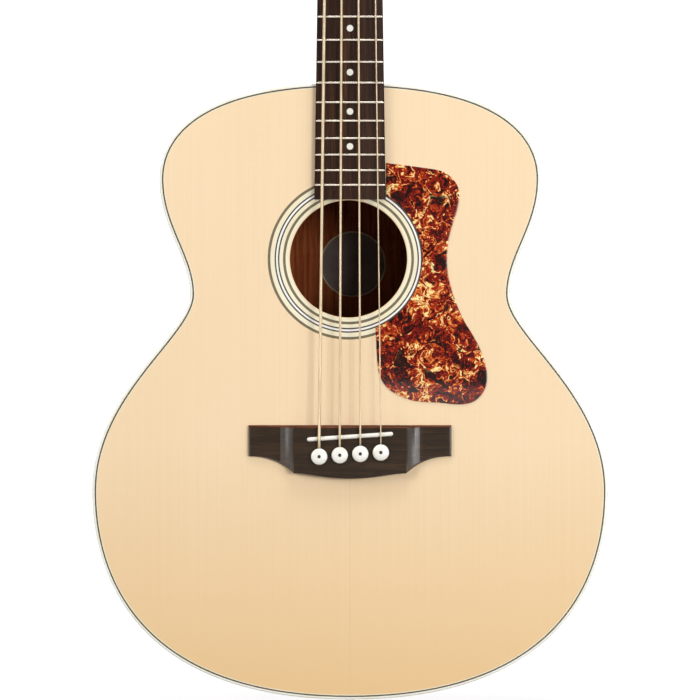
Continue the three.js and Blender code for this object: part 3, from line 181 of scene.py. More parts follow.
def bezier(corners, steps):
    # The sum of comb(n, k) (1 - t)^(n - k) t^k times corner k, for t from 0 to 1.
    corners = np.asarray(corners, float)
    degree = len(corners) - 1
    t = np.linspace(0, 1, steps + 1)[:, None]
    shares = [math.comb(degree, k) * (1 - t) ** (degree - k) * t ** k for k in range(degree + 1)]
    return sum(share * corner for share, corner in zip(shares, corners))


def splineThrough(points, steps):
    # A cubic for each span, whose slope at a point is half of the way between the point's neighbours.
    padded = np.vstack([points[:1], points, points[-1:]])
    slopes = (padded[2:] - padded[:-2])[:, None] / 2
    start, end, leave, arrive = points[:-1, None], points[1:, None], slopes[:-1], slopes[1:]
    t = (np.arange(steps) / steps)[:, None]
    curve = ((2 * start - 2 * end + leave + arrive) * t ** 3
             + (3 * end - 3 * start - 2 * leave - arrive) * t ** 2 + leave * t + start)
    return np.vstack([curve.reshape(-1, 2), points[-1:]])


def mirrored(half):  # a half outline and its image across x = 0, without the points on that line twice
    image = half[::-1] * [-1, 1]
    return np.vstack([half, image[np.abs(image[:, 0]) > 1e-9]])


def insetLoop(outline, inset):  # a closed anticlockwise outline moved inwards along its normals
    ahead = unit(np.roll(outline, -1, axis=0) - outline)
    tangent = unit(ahead + np.roll(ahead, 1, axis=0))
    return outline + inset * tangent[:, ::-1] * [-1, 1]


def plate(name, outline, front, back, bevel, steps=4):
    # A flat plate with a rounded edge: rings inset by r (1 - cos a), at r (1 - sin a) from the front.
    x, z = outline.T
    if np.sum(x * np.roll(z, -1) - z * np.roll(x, -1)) < 0:
        outline = outline[::-1]
    rings = [atDepth(outline, back)]
    for angle in np.linspace(0, math.pi / 2, steps + 1):
        inset = bevel * (1 - math.cos(angle))
        rings.append(atDepth(insetLoop(outline, inset), front + bevel * (1 - math.sin(angle))))
    return loft(name, rings)


def lathe(profile, segments, x=0.0, z=0.0):
    # Rings turned about the y axis: (r cos a, y, r sin a) for each pair of radius r and depth y.
    profile = np.asarray(profile, float)
    angle = np.linspace(0, 2 * math.pi, segments, endpoint=False)
    radius, depth = profile[:, :1], profile[:, 1:]
    return gridOf(x + radius * np.cos(angle), depth, z + radius * np.sin(angle))


def tubeAlong(path, radius, sides, up):
    # A circle carried along a path, in the plane across it, and kept upright by a fixed direction.
    along = unit(np.gradient(path, axis=0))
    side = unit(np.cross(along, up))[:, None]
    over = np.cross(side, along[:, None])
    angle = np.linspace(0, 2 * math.pi, sides, endpoint=False)[:, None]
    return path[:, None] + radius * (side * np.cos(angle) + over * np.sin(angle))


def flatSection(inner, outer, deep):  # a rectangle from the front down, between two insets or radii
    return np.array([(inner, 0), (outer, 0), (outer, deep), (inner, deep)])


def boreRings(radius, front, back, x=0.0, z=0.0):
    return lathe([(radius, front), (radius, back)], 32, x, z)


def boxCutter(low, high):  # a block between two opposite corners
    x, y, z = np.sort([low, high], axis=0).T
    return loft("cutter", gridOf(x[[0, 1, 1, 0]], y[[0, 0, 1, 1]], z[:, None]))


# Materials: every pattern reads Object coordinates or the piece's own attribute

finishes = {}


def linear(color):  # screen levels from 0 to 255 as linear shares
    share = np.asarray(color, float) / 255
    return tuple(np.where(share <= 0.04045, share / 12.92, ((share + 0.055) / 1.055) ** 2.4)) + (1.0,)


class Finish:  # a Principled material with short ways to add its nodes
    def __init__(self, name, roughness=0.5, metallic=0.0, coat=0.0, specular=0.5, under=0.0, follow=None):
        self.name = name
        self.material = bpy.data.materials.new(name)
        self.material.use_nodes = True
        self.tree = self.material.node_tree
        self.shader = self.tree.nodes["Principled BSDF"]
        self.settle({
            "Roughness": roughness, "Metallic": metallic, "Coat Weight": coat, "Coat Roughness": 0.08,
            "Specular IOR Level": specular, "Subsurface Weight": under, "Subsurface Scale": 2 * mm})
        if follow:
            self.place = self.add("ShaderNodeAttribute", attribute_name=follow).outputs["Vector"]
        else:
            self.place = self.add("ShaderNodeTexCoord").outputs["Object"]

    def plug(self, socket, value):  # links another node's output, or sets a value
        if isinstance(value, bpy.types.NodeSocket):
            self.tree.links.new(value, socket)
        elif value is not None:
            socket.default_value = value

    def settle(self, inputs):  # values or links for the shader's own sockets
        for key, value in inputs.items():
            self.plug(self.shader.inputs[key], value)

    def add(self, kind, inputs=None, **settings):
        made = self.tree.nodes.new(kind)
        for key, value in settings.items():
            setattr(made, key, value)
        for key, value in (inputs or {}).items():
            self.plug(made.inputs[key], value)
        return made

    def stretched(self, scale):  # the place, multiplied along each axis
        return self.add("ShaderNodeMapping", {"Vector": self.place, "Scale": tuple(scale)}).outputs["Vector"]

    def noise(self, scale, detail=4.0, distortion=0.0, rough=0.5):  # from 0 to 1
        inputs = {"Scale": 1.0, "Detail": detail, "Distortion": distortion, "Roughness": rough}
        return self.add("ShaderNodeTexNoise", {"Vector": self.stretched(scale), **inputs}).outputs["Fac"]

    def ramp(self, value, stops):  # colours at places from 0 to 1
        made = self.add("ShaderNodeValToRGB", {"Fac": value})
        band = made.color_ramp.elements
        while len(band) < len(stops):
            band.new(0.5)
        for element, (place, color) in zip(band, stops):
            element.position = place
            element.color = linear(color)
        return made.outputs["Color"]

    def blend(self, factor, first, second):  # the share of the second colour is the factor
        if not isinstance(second, bpy.types.NodeSocket):
            second = linear(second)
        return self.add("ShaderNodeMix", {0: factor, 6: first, 7: second}, data_type="RGBA").outputs[2]

    def math(self, operation, first, second=None):
        return self.add("ShaderNodeMath", {0: first, 1: second}, operation=operation).outputs[0]

    def vector(self, operation, inputs):
        return self.add("ShaderNodeVectorMath", inputs, operation=operation).outputs[0]

    def span(self, value, fromLow, fromHigh, toLow, toHigh):  # carries one range over to another
        limits = {"From Min": fromLow, "From Max": fromHigh, "To Min": toLow, "To Max": toHigh}
        return self.add("ShaderNodeMapRange", {"Value": value, **limits}).outputs["Result"]

    def axis(self, letter):
        return self.add("ShaderNodeSeparateXYZ", {"Vector": self.place}).outputs[letter]

    def finish(self, color, height=None, distance=0.0, roughness=None):  # and keeps it by its name
        self.settle({"Base Color": color, "Roughness": roughness})
        if height is not None:
            bump = self.add("ShaderNodeBump", {"Height": height, "Distance": distance, "Strength": 0.6})
            self.settle({"Normal": bump.outputs["Normal"]})
        finishes[self.name] = self.material


# tail and tailZ: a warmer tone with painted shade where the light falls off, blended in towards the tail
spruceLook = {
    "pale": (249, 223, 186), "mid": (247, 219, 179), "line": (241, 210, 166), "patch": (243, 212, 170),
    "silk": (255, 241, 214), "seam": (227, 192, 147), "seamHalf": 0.35 * mm, "tail": (236, 198, 144),
    "tailZ": (-0.79, -1.0),
}


def spruceFinish():
    # Straight fine grain: noise stretched along z, in two widths, over slow patches and a centre seam, and a
    # warmer tone with painted shade towards the tail.
    look = spruceLook
    top = Finish("spruce_top", coat=0.1, specular=0.2)
    fine = top.noise((1400, 60, 4), detail=2)
    broad = top.noise((330, 20, 1.6), detail=2)
    patches = top.noise((9, 9, 4), detail=2)
    silk = top.noise((60, 60, 420), detail=2, distortion=0.4)
    lines = top.ramp(fine, [(0.24, look["line"]), (0.46, look["mid"]), (0.64, look["pale"])])
    color = top.blend(0.6, lines, top.ramp(broad, [(0.30, look["mid"]), (0.62, look["pale"])]))
    color = top.blend(top.span(patches, 0.35, 0.7, 0.0, 0.3), color, look["patch"])
    color = top.blend(top.span(silk, 0.55, 0.8, 0.0, 0.08), color, look["silk"])
    # painted shade towards the tail, over a warmer tone, blended in between the two places of tailZ
    color = top.blend(top.span(top.axis("Z"), *look["tailZ"], 0.0, 0.95), color, look["tail"])
    seam = top.math("LESS_THAN", top.math("ABSOLUTE", top.axis("X")), look["seamHalf"])
    color = top.blend(top.math("MULTIPLY", seam, 0.45), color, look["seam"])
    top.finish(color, fine, 0.02 * mm, top.span(fine, 0.3, 0.7, 0.42, 0.34))


mahoganyGrain = {"pores": 0.55, "draw": 0.012, "rough": 0.5}
rosewoodTones = [(38, 26, 15), (52, 37, 22), (74, 53, 34)]
woodLooks = {  # tones from dark to light, roughness at both, and what differs from woodFinish
    "mahogany": {
        "tones": [(92, 38, 18), (124, 58, 31), (150, 78, 44)], "gloss": (0.36, 0.28), "coat": 0.15,
        "figure": 0.14, **mahoganyGrain},
    "mahogany_inside": {
        "tones": [(116, 54, 28), (150, 76, 41), (172, 96, 54)], "gloss": (0.8, 0.7), "figure": 0.2,
        "specular": 0.04, **mahoganyGrain, "pores": 0.4},
    "mahogany_sides": {
        "tones": [(92, 38, 18), (122, 57, 30), (146, 76, 43)], "gloss": (0.36, 0.28), "coat": 0.15,
        "figure": 0.12, "follow": "bend", **mahoganyGrain},
    "mahogany_neck": {
        "tones": [(88, 42, 24), (118, 62, 38), (140, 80, 50)], "gloss": (0.66, 0.56), "figure": 0.05,
        "specular": 0.12, **mahoganyGrain, "pores": 0.5, "draw": 0.014},
    "brace_wood": {
        "tones": [(196, 160, 112), (220, 190, 146), (236, 211, 170)], "gloss": (0.75, 0.65), "pores": 0.15},
    "plate_maple": {
        "tones": [(190, 156, 110), (214, 184, 140), (230, 206, 166)], "gloss": (0.6, 0.5), "along": "X",
        "pores": 0.2, "figure": 0.2},
    "rosewood_bridge": {
        "tones": rosewoodTones, "gloss": (0.38, 0.30), "along": "X", "pores": 0.55, "specular": 0.2},
    "rosewood_scoop": {
        "tones": rosewoodTones, "gloss": (0.42, 0.36), "along": "X", "pores": 0.55, "specular": 0.75},
    # a lighter, redder copy of the rosewood for the bridge's upper chamfer: painted highlight and painted
    # reflection of the spruce
    "rosewood_bevel": {
        "tones": [(72, 36, 22), (104, 58, 38), (138, 84, 56)], "gloss": (0.6, 0.5), "along": "X",
        "specular": 0.06},
    "rosewood_board": {
        "tones": [(36, 20, 12), (54, 34, 23), (84, 51, 34)], "gloss": (0.45, 0.36), "specular": 0.14},
    "rosewood_edge": {
        "tones": [(28, 17, 12), (42, 28, 20), (60, 40, 28)], "gloss": (0.7, 0.6), "specular": 0.1},
    "rosewood_veneer": {
        "tones": [(30, 20, 17), (46, 32, 26), (66, 46, 36)], "gloss": (0.28, 0.2), "coat": 0.8, "pores": 0.4},
}


def woodFinish(name, tones, gloss, along="Z", coat=0.0, pores=0.5, figure=0.0, specular=0.25, draw=0.035,
               rough=0.62, follow=None):
    # Open-pored wood: streaks, pores and slow bands of noise, each stretched along the grain.
    dark, mid, light = tones
    wood = Finish(name, coat=coat, specular=specular, follow=follow)
    grain = np.array([letter == along for letter in "XYZ"])
    stretch = np.where(grain, draw, 1)
    streak = wood.noise(stretch * 420, detail=6, rough=rough)
    slow = wood.noise(stretch * 70, detail=3, distortion=0.6)
    pore = wood.noise(np.where(grain, 75, 1500), detail=2)
    color = wood.ramp(streak, [(0.34, dark), (0.50, mid), (0.68, light)])
    color = wood.blend(wood.span(slow, 0.38, 0.66, 0.0, 0.45), color, dark)
    holes = wood.span(pore, 0.60, 0.68, 0.0, pores)
    color = wood.blend(holes, color, np.multiply(dark, 0.45))
    if figure:
        ripple = wood.noise(np.where(grain, 70, 10), detail=1, distortion=0.6)
        color = wood.blend(wood.span(ripple, 0.45, 0.7, 0.0, figure), color, light)
    height = wood.math("SUBTRACT", streak, wood.math("MULTIPLY", holes, 1.5))
    wood.finish(color, height, 0.04 * mm, wood.span(streak, 0.3, 0.7, *gloss))


fineClouds = (700, 700, 700)
plasticLooks = {  # main tone, tone of its clouds, roughness, coat, light under the skin, scale of the clouds
    "ivory_plastic": ((250, 247, 236), (243, 236, 216), 0.3, 0.3, 0.1),
    "cream_inlay": ((248, 238, 210), (240, 228, 192), 0.4, 0.1, 0.05),
    "white_inlay": ((252, 250, 243), (246, 241, 230), 0.35, 0.2, 0.05),
    "dark_line": ((122, 108, 78), (96, 84, 58), 0.45, 0.2, 0.0, fineClouds),
    "edge_line": ((84, 74, 58), (64, 54, 40), 0.45, 0.2, 0.0, fineClouds),
    "thin_line": ((66, 56, 48), (48, 40, 34), 0.45, 0.2, 0.0, fineClouds),
    "black_plastic": ((26, 24, 23), (18, 17, 16), 0.25, 0.5, 0.0),
    "bone_white": ((252, 249, 240), (244, 238, 222), 0.32, 0.35, 0.12),
    "label_border": ((186, 168, 136), (166, 146, 112), 0.8, 0.0, 0.0),
}


def plasticFinish(name, tone, cloud, roughness, coat, under, scale=(40, 40, 8)):
    # Moulded or turned plastic and bone: a faint cloud of a second tone, and a fine skin.
    plain = Finish(name, roughness=roughness, coat=coat, under=under)
    skin = plain.noise((900, 900, 900), detail=2)
    color = plain.ramp(plain.noise(scale, distortion=0.5), [(0.3, cloud), (0.62, tone)])
    plain.finish(color, skin, 0.01 * mm, plain.span(skin, 0.3, 0.7, roughness + 0.06, roughness - 0.04))


metalLooks = {  # main tone, tarnish, roughness and scale of the scratches
    "rod_steel": ((176, 176, 172), (150, 148, 142), 0.34),
    "nickel": ((236, 235, 232), (214, 212, 206), 0.16),
    "fret_nickel": ((232, 222, 206), (212, 202, 187), 0.2, (120, 900, 900)),
    "nut_brass": ((200, 160, 92), (170, 130, 68), 0.3),
}


def metalFinish(name, tone, tarnish, roughness, brushed=(500, 500, 500)):
    # Plated metal: fine rubbed scratches and slight tarnish.
    plated = Finish(name, roughness=roughness, metallic=1.0)
    scratch = plated.noise(brushed, detail=5, rough=0.7)
    color = plated.ramp(plated.noise((60, 60, 60), detail=3), [(0.35, tarnish), (0.6, tone)])
    rough = plated.span(scratch, 0.25, 0.75, roughness * 1.5, roughness * 0.7)
    plated.finish(color, scratch, 0.006 * mm, rough)


tortoiseLook = [  # where each tone stands, from the black ground to straw-coloured flecks
    (0.36, (24, 4, 1)), (0.42, (76, 5, 1)), (0.48, (124, 16, 4)), (0.545, (160, 40, 10)),
    (0.60, (212, 92, 28)), (0.635, (240, 166, 80)), (0.675, (252, 230, 158)),
]


def tortoiseFinish():
    # Celluloid flecks: noise at places bent by other noise, plus slower noise for pale and for black patches.
    shell = Finish("tortoise_plastic", roughness=0.16, coat=0.35, specular=0.3)
    bend = shell.add("ShaderNodeTexNoise", {"Vector": shell.place, "Scale": 70.0, "Detail": 2.0})
    push = shell.vector("SUBTRACT", {0: bend.outputs["Color"], 1: (0.5, 0.5, 0.5)})
    bent = shell.vector("ADD", {0: shell.place, 1: shell.vector("SCALE", {0: push, "Scale": 0.034})})

    def field(scale, detail, distortion, shift):
        moved = shell.vector("ADD", {0: bent, 1: shift})
        inputs = {"Vector": moved, "Scale": scale, "Detail": detail, "Distortion": distortion}
        return shell.add("ShaderNodeTexNoise", inputs).outputs["Fac"]

    strands = field(200.0, 2.4, 1.3, (0, 0, 0))
    patch = field(48.0, 1.0, 0.3, (0.3, 0, 0.1))
    blot = field(62.0, 1.5, 0.4, (0.7, 0.2, 0))
    value = shell.math("ADD", shell.math("MULTIPLY", strands, 0.95), shell.math("MULTIPLY", patch, 0.62))
    color = shell.ramp(shell.math("SUBTRACT", value, 0.285), tortoiseLook)
    color = shell.blend(shell.span(blot, 0.59, 0.63, 0.0, 0.95), color, tortoiseLook[0][1])
    shell.finish(color, strands, 0.004 * mm)


# the dark tone is painted shade for the valleys between turns of wire
windingLook = {"pale": (228, 209, 177), "grime": (206, 185, 152), "grooveShade": (120, 92, 52)}


def windingFinish():
    # Wrap wire: a sine of the distance along the string, one crest for each turn of wire, with painted shade
    # in the valleys between turns.
    wound = Finish("wound_bronze", roughness=0.34, metallic=0.75)
    along = wound.add("ShaderNodeAttribute", attribute_name="along", attribute_type="GEOMETRY").outputs["Fac"]
    wave = wound.math("SINE", wound.math("MULTIPLY", along, 2 * math.pi / strings["windPitch"]))
    grime = wound.noise((300, 300, 40), detail=3)
    color = wound.ramp(grime, [(0.3, windingLook["grime"]), (0.6, windingLook["pale"])])
    # painted shade in the valleys between turns of wire
    color = wound.blend(wound.span(wave, -1.0, -0.2, 0.5, 0.0), color, windingLook["grooveShade"])
    wound.finish(color, wave, 0.05 * mm)


# the label's paper tones, darkened as painted shade
paperShadedLook = {"brown": (114, 101, 97), "pale": (128, 114, 110), "fibre": (96, 84, 75)}


def paperFinish():
    # Uncoated paper: fibre noise and slight browning, all in tones darkened as painted shade.
    sheet = Finish("label_paper", roughness=0.9, specular=0.15)
    fibre = sheet.noise((900, 900, 900), detail=5)
    age = sheet.noise((40, 40, 40), detail=3)
    color = sheet.ramp(age, [(0.35, paperShadedLook["brown"]), (0.65, paperShadedLook["pale"])])
    color = sheet.blend(sheet.span(fibre, 0.45, 0.7, 0.0, 0.2), color, paperShadedLook["fibre"])
    sheet.finish(color, fibre, 0.02 * mm)


def makeFinishes():
    for name, look in woodLooks.items():
        woodFinish(name, **look)
    for make, looks in [(plasticFinish, plasticLooks), (metalFinish, metalLooks)]:
        for name, look in looks.items():
            make(name, *look)
    spruceFinish()
    tortoiseFinish()
    windingFinish()
    paperFinish()


# Fingerboard, frets and dots

scaleLength = 781 * mm


def fretZ(number):  # what is left of the string shrinks by the twelfth root of 2 at each fret
    return -scaleLength * (1 - 2 ** (-number / 12))


fingerboard = inMetres({
    "thickness": 6.5, "halfAtNut": 21.25, "halfAtEnd": 29.95, "pastLastFret": 12, "radius": 406,
    "edgeLine": 0.9, "edgeRound": 0.5,
})
fingerboard["frets"] = 23
fingerboard["endZ"] = fretZ(fingerboard["frets"]) - fingerboard["pastLastFret"]
fingerboard["growth"] = (fingerboard["halfAtEnd"] - fingerboard["halfAtNut"]) / fingerboard["endZ"]


def boardHalf(z):  # half the board's width, which grows evenly from the nut to its end
    return fingerboard["halfAtNut"] + z * fingerboard["growth"]


def arcDrop(x):  # how far the board's radius falls away beside the middle
    return x ** 2 / (2 * fingerboard["radius"])


def boardTop(x):  # depth of the face: the arc's drop, less the board's thickness
    return arcDrop(x) - fingerboard["thickness"]


def makeFingerboard():
    # Sections down the board: a middle under the radiused top, and a strip along each edge, whose corner is
    # inset by r (1 - sin a) at r (1 - cos a) below the top.
    z = np.linspace(0, fingerboard["endZ"], 47)[:, None]
    half, line, radius = boardHalf(z), fingerboard["edgeLine"], fingerboard["edgeRound"]
    x = np.linspace(-1, 1, 17) * (half - line)
    rings = gridOf(np.hstack([x, x[:, -1:], x[:, :1]]), np.hstack([boardTop(x), 0 * z, 0 * z]), z)
    dress(loft("board_wood", rings), "rosewood_board", "fingerboard")
    turn = np.linspace(0, math.pi / 2, 5)
    flat = half - line * np.linspace(1, 9 / 16, 8)
    x = np.hstack([flat, half - radius * (1 - np.sin(turn)), half, half - line])
    y = np.hstack([boardTop(flat), boardTop(half) + radius * (1 - np.cos(turn)), 0 * z, 0 * z])
    for name, hand in [("board_edge_bass", -1), ("board_edge_treble", 1)]:
        dress(loft(name, gridOf(hand * x, y, z)), "rosewood_edge", "fingerboard")


fret = inMetres({"half": 0.88, "height": 1.0, "short": 0.25, "endRound": 1.1, "foot": 0.3})
fret["leastShare"] = 0.03


def makeFrets():
    # Crowned wire: half an ellipse across z, carried over the board's arc and drawn in at its rounded ends.
    angle, turn = np.linspace(0, math.pi, 9), np.linspace(0, math.pi / 2, 6)
    wires = []
    for number in range(1, fingerboard["frets"] + 1):
        z = fretZ(number)
        side = boardHalf(z) - fret["short"] - fret["endRound"] * (1 - np.sin(turn))
        x = np.concatenate([-side[::-1], np.linspace(-side[0], side[0], 19)[1:-1], side])[:, None]
        past = np.maximum(np.abs(x) - side[0], 0) / fret["endRound"]
        draw = np.maximum(np.sqrt(np.maximum(1 - past ** 2, 0)), fret["leastShare"])
        foot = boardTop(x) + fret["foot"]
        y = np.hstack([boardTop(x) - fret["height"] * draw * np.sin(angle), foot, foot])
        rings = gridOf(x, y, z + fret["half"] * draw * np.append(np.cos(angle), [-1, 1]))
        wires.append(loft(f"fret_{number}", rings, sharpAngle=60))
    dress(joinPieces("fret_wires", wires, 60), "fret_nickel", "fingerboard")


dot = inMetres({
    "radius": 2.75, "ring": 0.35, "ringSunk": 0.01, "middle": 0.1, "proud": 0.03, "pair": 9,
    "sideRadius": 1, "sideLength": 0.5, "sideY": -2.6, "sidePair": 4,
})
dot |= {"frets": [3, 5, 7, 9, 12, 15, 17, 19, 21], "double": 12}


def makeDots():
    # Position dots on the face, each a disc in a thin dark ring, and small ones along the bass side.
    faces, rims, sides = [], [], []
    for number in dot["frets"]:
        z = (fretZ(number) + fretZ(number - 1)) / 2
        for hand in ([-1, 1] if number == dot["double"] else [0]):
            x = hand * dot["pair"]
            top = boardTop(x) - dot["proud"]
            face = [(dot["radius"], 0), (dot["radius"], top), (dot["middle"], top - dot["proud"])]
            outer, low = dot["radius"] + dot["ring"], top + dot["ringSunk"]
            faces.append(loft("dot", lathe(face, 40, x, z)))
            rims.append(loft("rim", lathe([(outer, 0), (outer, low), (dot["middle"], low)], 40, x, z)))
            spot = lathe([(dot["sideRadius"], 0), (dot["sideRadius"], dot["sideLength"])], 20)
            place = [-boardHalf(z) - dot["proud"], dot["sideY"], z + hand * dot["sidePair"]]
            sides.append(loft("side", spot[..., [1, 0, 2]] + place))
    dress(joinPieces("board_dots", faces), "bone_white", "fingerboard")
    dress(joinPieces("board_dot_rims", rims), "thin_line", "fingerboard")
    dress(joinPieces("board_side_dots", sides), "bone_white", "fingerboard")


# Body

body = inMetres({
    "length": 518, "aboveFret": 0.455, "halfWidths": [216.5, 134.3, 160], "depthAtTail": 122,
    "depthAtNeck": 105, "archRise": 12, "backThickness": 2.8, "topThickness": 3, "sideThickness": 2.3,
    "bindingWidth": 2.1, "bindingHeight": 6.5, "bindingRound": 1.2, "darkWidth": 1.25, "creamWidth": 0.7,
    "cutPast": 1,
})
body |= {
    "jointFret": 17, "steps": 44, "heightShares": [0.338, 0.657, 0.844],
    "handleShares": [(0.8, 0.45), (0.5, 0.202), (0.325, 0.417), (0.453, 0.8)],
}
body["topZ"] = fretZ(body["jointFret"]) + body["aboveFret"]
body["tailZ"] = body["topZ"] - body["length"]


def halfOutline():
    # Treble half, tail to neck: Bezier spans, level at both ends of the body, upright at bouts and waist.
    heights = body["tailZ"] + body["length"] * np.array([0, *body["heightShares"], 1])
    widths = np.array([0, *body["halfWidths"], 0])
    spans = []
    for i, (startShare, endShare) in enumerate(body["handleShares"]):
        (startX, endX), (startZ, endZ) = widths[i:i + 2], heights[i:i + 2]
        wide, rise = max(startX, endX), endZ - startZ
        leave = (startShare * wide, startZ) if i == 0 else (startX, startZ + startShare * rise)
        arrive = (endShare * wide, endZ) if i == 3 else (endX, endZ - endShare * rise)
        spans.append(bezier([(startX, startZ), leave, arrive, (endX, endZ)], body["steps"])[:-1])
    return np.vstack([*spans, (0, heights[-1])])


trebleEdge = halfOutline()
bodyEdge = mirrored(trebleEdge)
archZ = body["tailZ"] + body["heightShares"][1] * body["length"]


def backEdgeY(z):  # depth of the back's edge, in a straight line from tail to neck
    share = (z - body["tailZ"]) / body["length"]
    return body["depthAtTail"] + share * (body["depthAtNeck"] - body["depthAtTail"])


def archedY(z, share):  # the back rises by 1 - s^2, with s from the arch's middle to the edge
    return backEdgeY(z) + body["archRise"] * (1 - share ** 2)


def edgeRings(section, atBack=False):
    # Pairs of inset and depth carried round the body; depths count from the front or from the back's edge.
    rings = []
    for inset, depth in section:
        loop = insetLoop(bodyEdge, inset)
        rings.append(atDepth(loop, depth + (backEdgeY(loop[:, 1]) if atBack else 0)))
    return rings


soundhole = inMetres({
    "x": -1.3, "radius": 49.2, "round": 0.7, "belowBoard": 0.66, "channelInner": 50.1, "channelOuter": 67.8,
    "channelDepth": 1.2,
})
soundhole["z"] = fingerboard["endZ"] - soundhole["belowBoard"] - soundhole["radius"]


def holeRing(radius, y):  # a circle round the soundhole whose points face the body outline's points
    centre = [soundhole["x"], soundhole["z"]]
    return atDepth(centre + radius * unit(bodyEdge - centre), y)


def betweenRings(first, last):  # three rings at even steps from one to another
    return [first + share * (last - first) for share in (0.25, 0.5, 0.75)]


def makeSoundboard():
    # Rings over the hole's rounded edge, through the rosette's channel, out to the edge and back behind.
    hole, thick = soundhole, body["topThickness"]
    turn = np.linspace(0, math.pi / 2, 5)
    radius = hole["radius"] + hole["round"] * (1 - np.cos(turn))
    depth = hole["round"] * (1 - np.sin(turn))
    section = np.vstack([
        np.column_stack([radius, thick - depth])[::-1], np.column_stack([radius, depth]),
        [(hole["channelInner"], 0), (hole["channelInner"], hole["channelDepth"])],
        [(hole["channelOuter"], hole["channelDepth"]), (hole["channelOuter"], 0)]])
    rings = [holeRing(radius, y) for radius, y in section]
    edge = insetLoop(bodyEdge, body["bindingWidth"] + body["darkWidth"] + body["creamWidth"])
    front, back = atDepth(edge, 0), atDepth(edge, thick)
    rings += betweenRings(rings[-1], front) + [front, back] + betweenRings(back, rings[0])
    holes = pinHoles(-body["cutPast"], thick + body["cutPast"])
    dress(carve(loft("soundboard_top", rings, loop=True), holes), "spruce_top", "soundboard")


rosette = {  # outer radius in millimetres, finish, slot and CAD node; each starts where the last ends
    "hole_edge": (52.8, "cream_inlay", "ivory_plastic", "rosette_inner_ring"),
    "inner_dark": (55.0, "dark_line", "dark_line", "rosette_inner_ring"),
    "cream_inner": (58.0, "cream_inlay", "ivory_plastic", "rosette_field"),
    "line_inner": (59.2, "thin_line", "ivory_plastic", "rosette_field"),
    "white": (60.8, "white_inlay", "ivory_plastic", "rosette_field"),
    "line_outer": (62.0, "thin_line", "ivory_plastic", "rosette_field"),
    "cream_outer": (65.6, "cream_inlay", "ivory_plastic", "rosette_field"),
    "outer_dark": (67.8, "dark_line", "dark_line", "rosette_outer_ring"),
}


def makeRosette():  # flat inlaid rings side by side in the channel
    inner = soundhole["channelInner"]
    for name, (radius, finish, slot, node) in rosette.items():
        outer = radius * mm
        section = flatSection(inner, outer, soundhole["channelDepth"])
        rings = lathe(section, 192, soundhole["x"], soundhole["z"])
        dress(loft(f"rosette_{name}", rings, loop=True), finish, node)
        inner = outer


def makeEdging():
    # Binding at top and back, its outer corner inset by r (1 - cos a) at r (1 - sin a), then the dark
    # purfling and a cream line inside the top's binding.
    wide, high, radius = body["bindingWidth"], body["bindingHeight"], body["bindingRound"]
    turn = np.linspace(math.pi / 2, 0, 6)
    for side, way in [("top", 1), ("back", -1)]:
        corner = radius * np.column_stack([1 - np.cos(turn), way * (1 - np.sin(turn))])
        section = np.vstack([(wide, 0), corner, (0, way * high), (wide, way * high)])
        piece = loft(f"{side}_edge_binding", edgeRings(section, way < 0), loop=True)
        dress(piece, "ivory_plastic", f"{side}_binding")
    inner = wide
    for name, finish in [("dark", "edge_line"), ("cream", "cream_inlay")]:
        outer = inner + body[f"{name}Width"]
        rings = edgeRings(flatSection(inner, outer, body["topThickness"]))
        dress(loft(f"purfling_{name}", rings, loop=True), finish, "top_purfling")
        inner = outer


def makeBack():  # an arched plate: rings shrunk to the arch's middle, outside and then inside
    edge = insetLoop(bodyEdge, body["bindingWidth"])
    share = np.linspace(0.04, 1, 16)[:, None]
    x, z = share * edge[:, 0], archZ + share * (edge[:, 1] - archZ)
    outer = gridOf(x, archedY(z, share), z)
    piece = loft("back_plate", np.concatenate([outer, outer[::-1] - [0, body["backThickness"], 0]]))
    dress(piece, "mahogany", "back")
    faceFinish(piece, "mahogany_inside", [0, -1, 0], 0.5)


def makeSides():
    # Bent strips between the bindings: an outer and an inner wall of five depths each, along each half of the
    # outline. The attribute bend holds depth and distance along the strip, for the grain.
    count, front, across = len(trebleEdge), body["bindingHeight"], np.linspace(0, 1, 5)
    walls = []
    for line, share in [(bodyEdge, across), (insetLoop(bodyEdge, body["sideThickness"]), across[::-1])]:
        x, z = line[:, :1], line[:, 1:]
        walls.append(gridOf(x, front + share * (backEdgeY(z) - 2 * front), z))
    rings = np.hstack(walls)
    for hand, span in [("treble", np.arange(count)), ("bass", np.r_[count - 1:len(bodyEdge), 0])]:
        piece = loft(f"side_{hand}_bent", rings[span], merge=False)
        grain = gridOf(rings[span][..., 1], 0, distanceAlong(bodyEdge[span])[:, None])
        bend = piece.data.attributes.new("bend", "FLOAT_VECTOR", "POINT")
        bend.data.foreach_set("vector", grain.ravel().astype(np.float32))
        dress(piece, "mahogany_sides", f"side_{hand}")


label = inMetres({"x": 2.6, "belowHole": 2, "radius": 28.6, "border": 1.4, "front": 0.5, "back": 0.1})


def labelRings(radii, lift):  # circles laid on the inside of the arched back, and lifted off it
    rings = lathe(np.column_stack([radii, 0 * radii]), 96, label["x"], soundhole["z"] - label["belowHole"])
    share = np.hypot(rings[..., 0], rings[..., 2] - archZ) / body["halfWidths"][1]
    rings[..., 1] = archedY(rings[..., 2], share) - body["backThickness"] - lift
    return rings


def makeLabel():  # a bare paper disc that follows the back, with a pale border ring round its rim
    inside = label["radius"] - label["border"]
    for name, finish, radii, loop in [
            ("label_sheet", "label_paper", inside * np.linspace(0.02, 1, 10), False),
            ("label_border", "label_border", np.array([inside, label["radius"]]), True)]:
        rings = np.concatenate([labelRings(radii, label["front"]), labelRings(radii[::-1], label["back"])])
        dress(loft(name, rings, loop=loop), finish, "paper_label")


# Pickguard

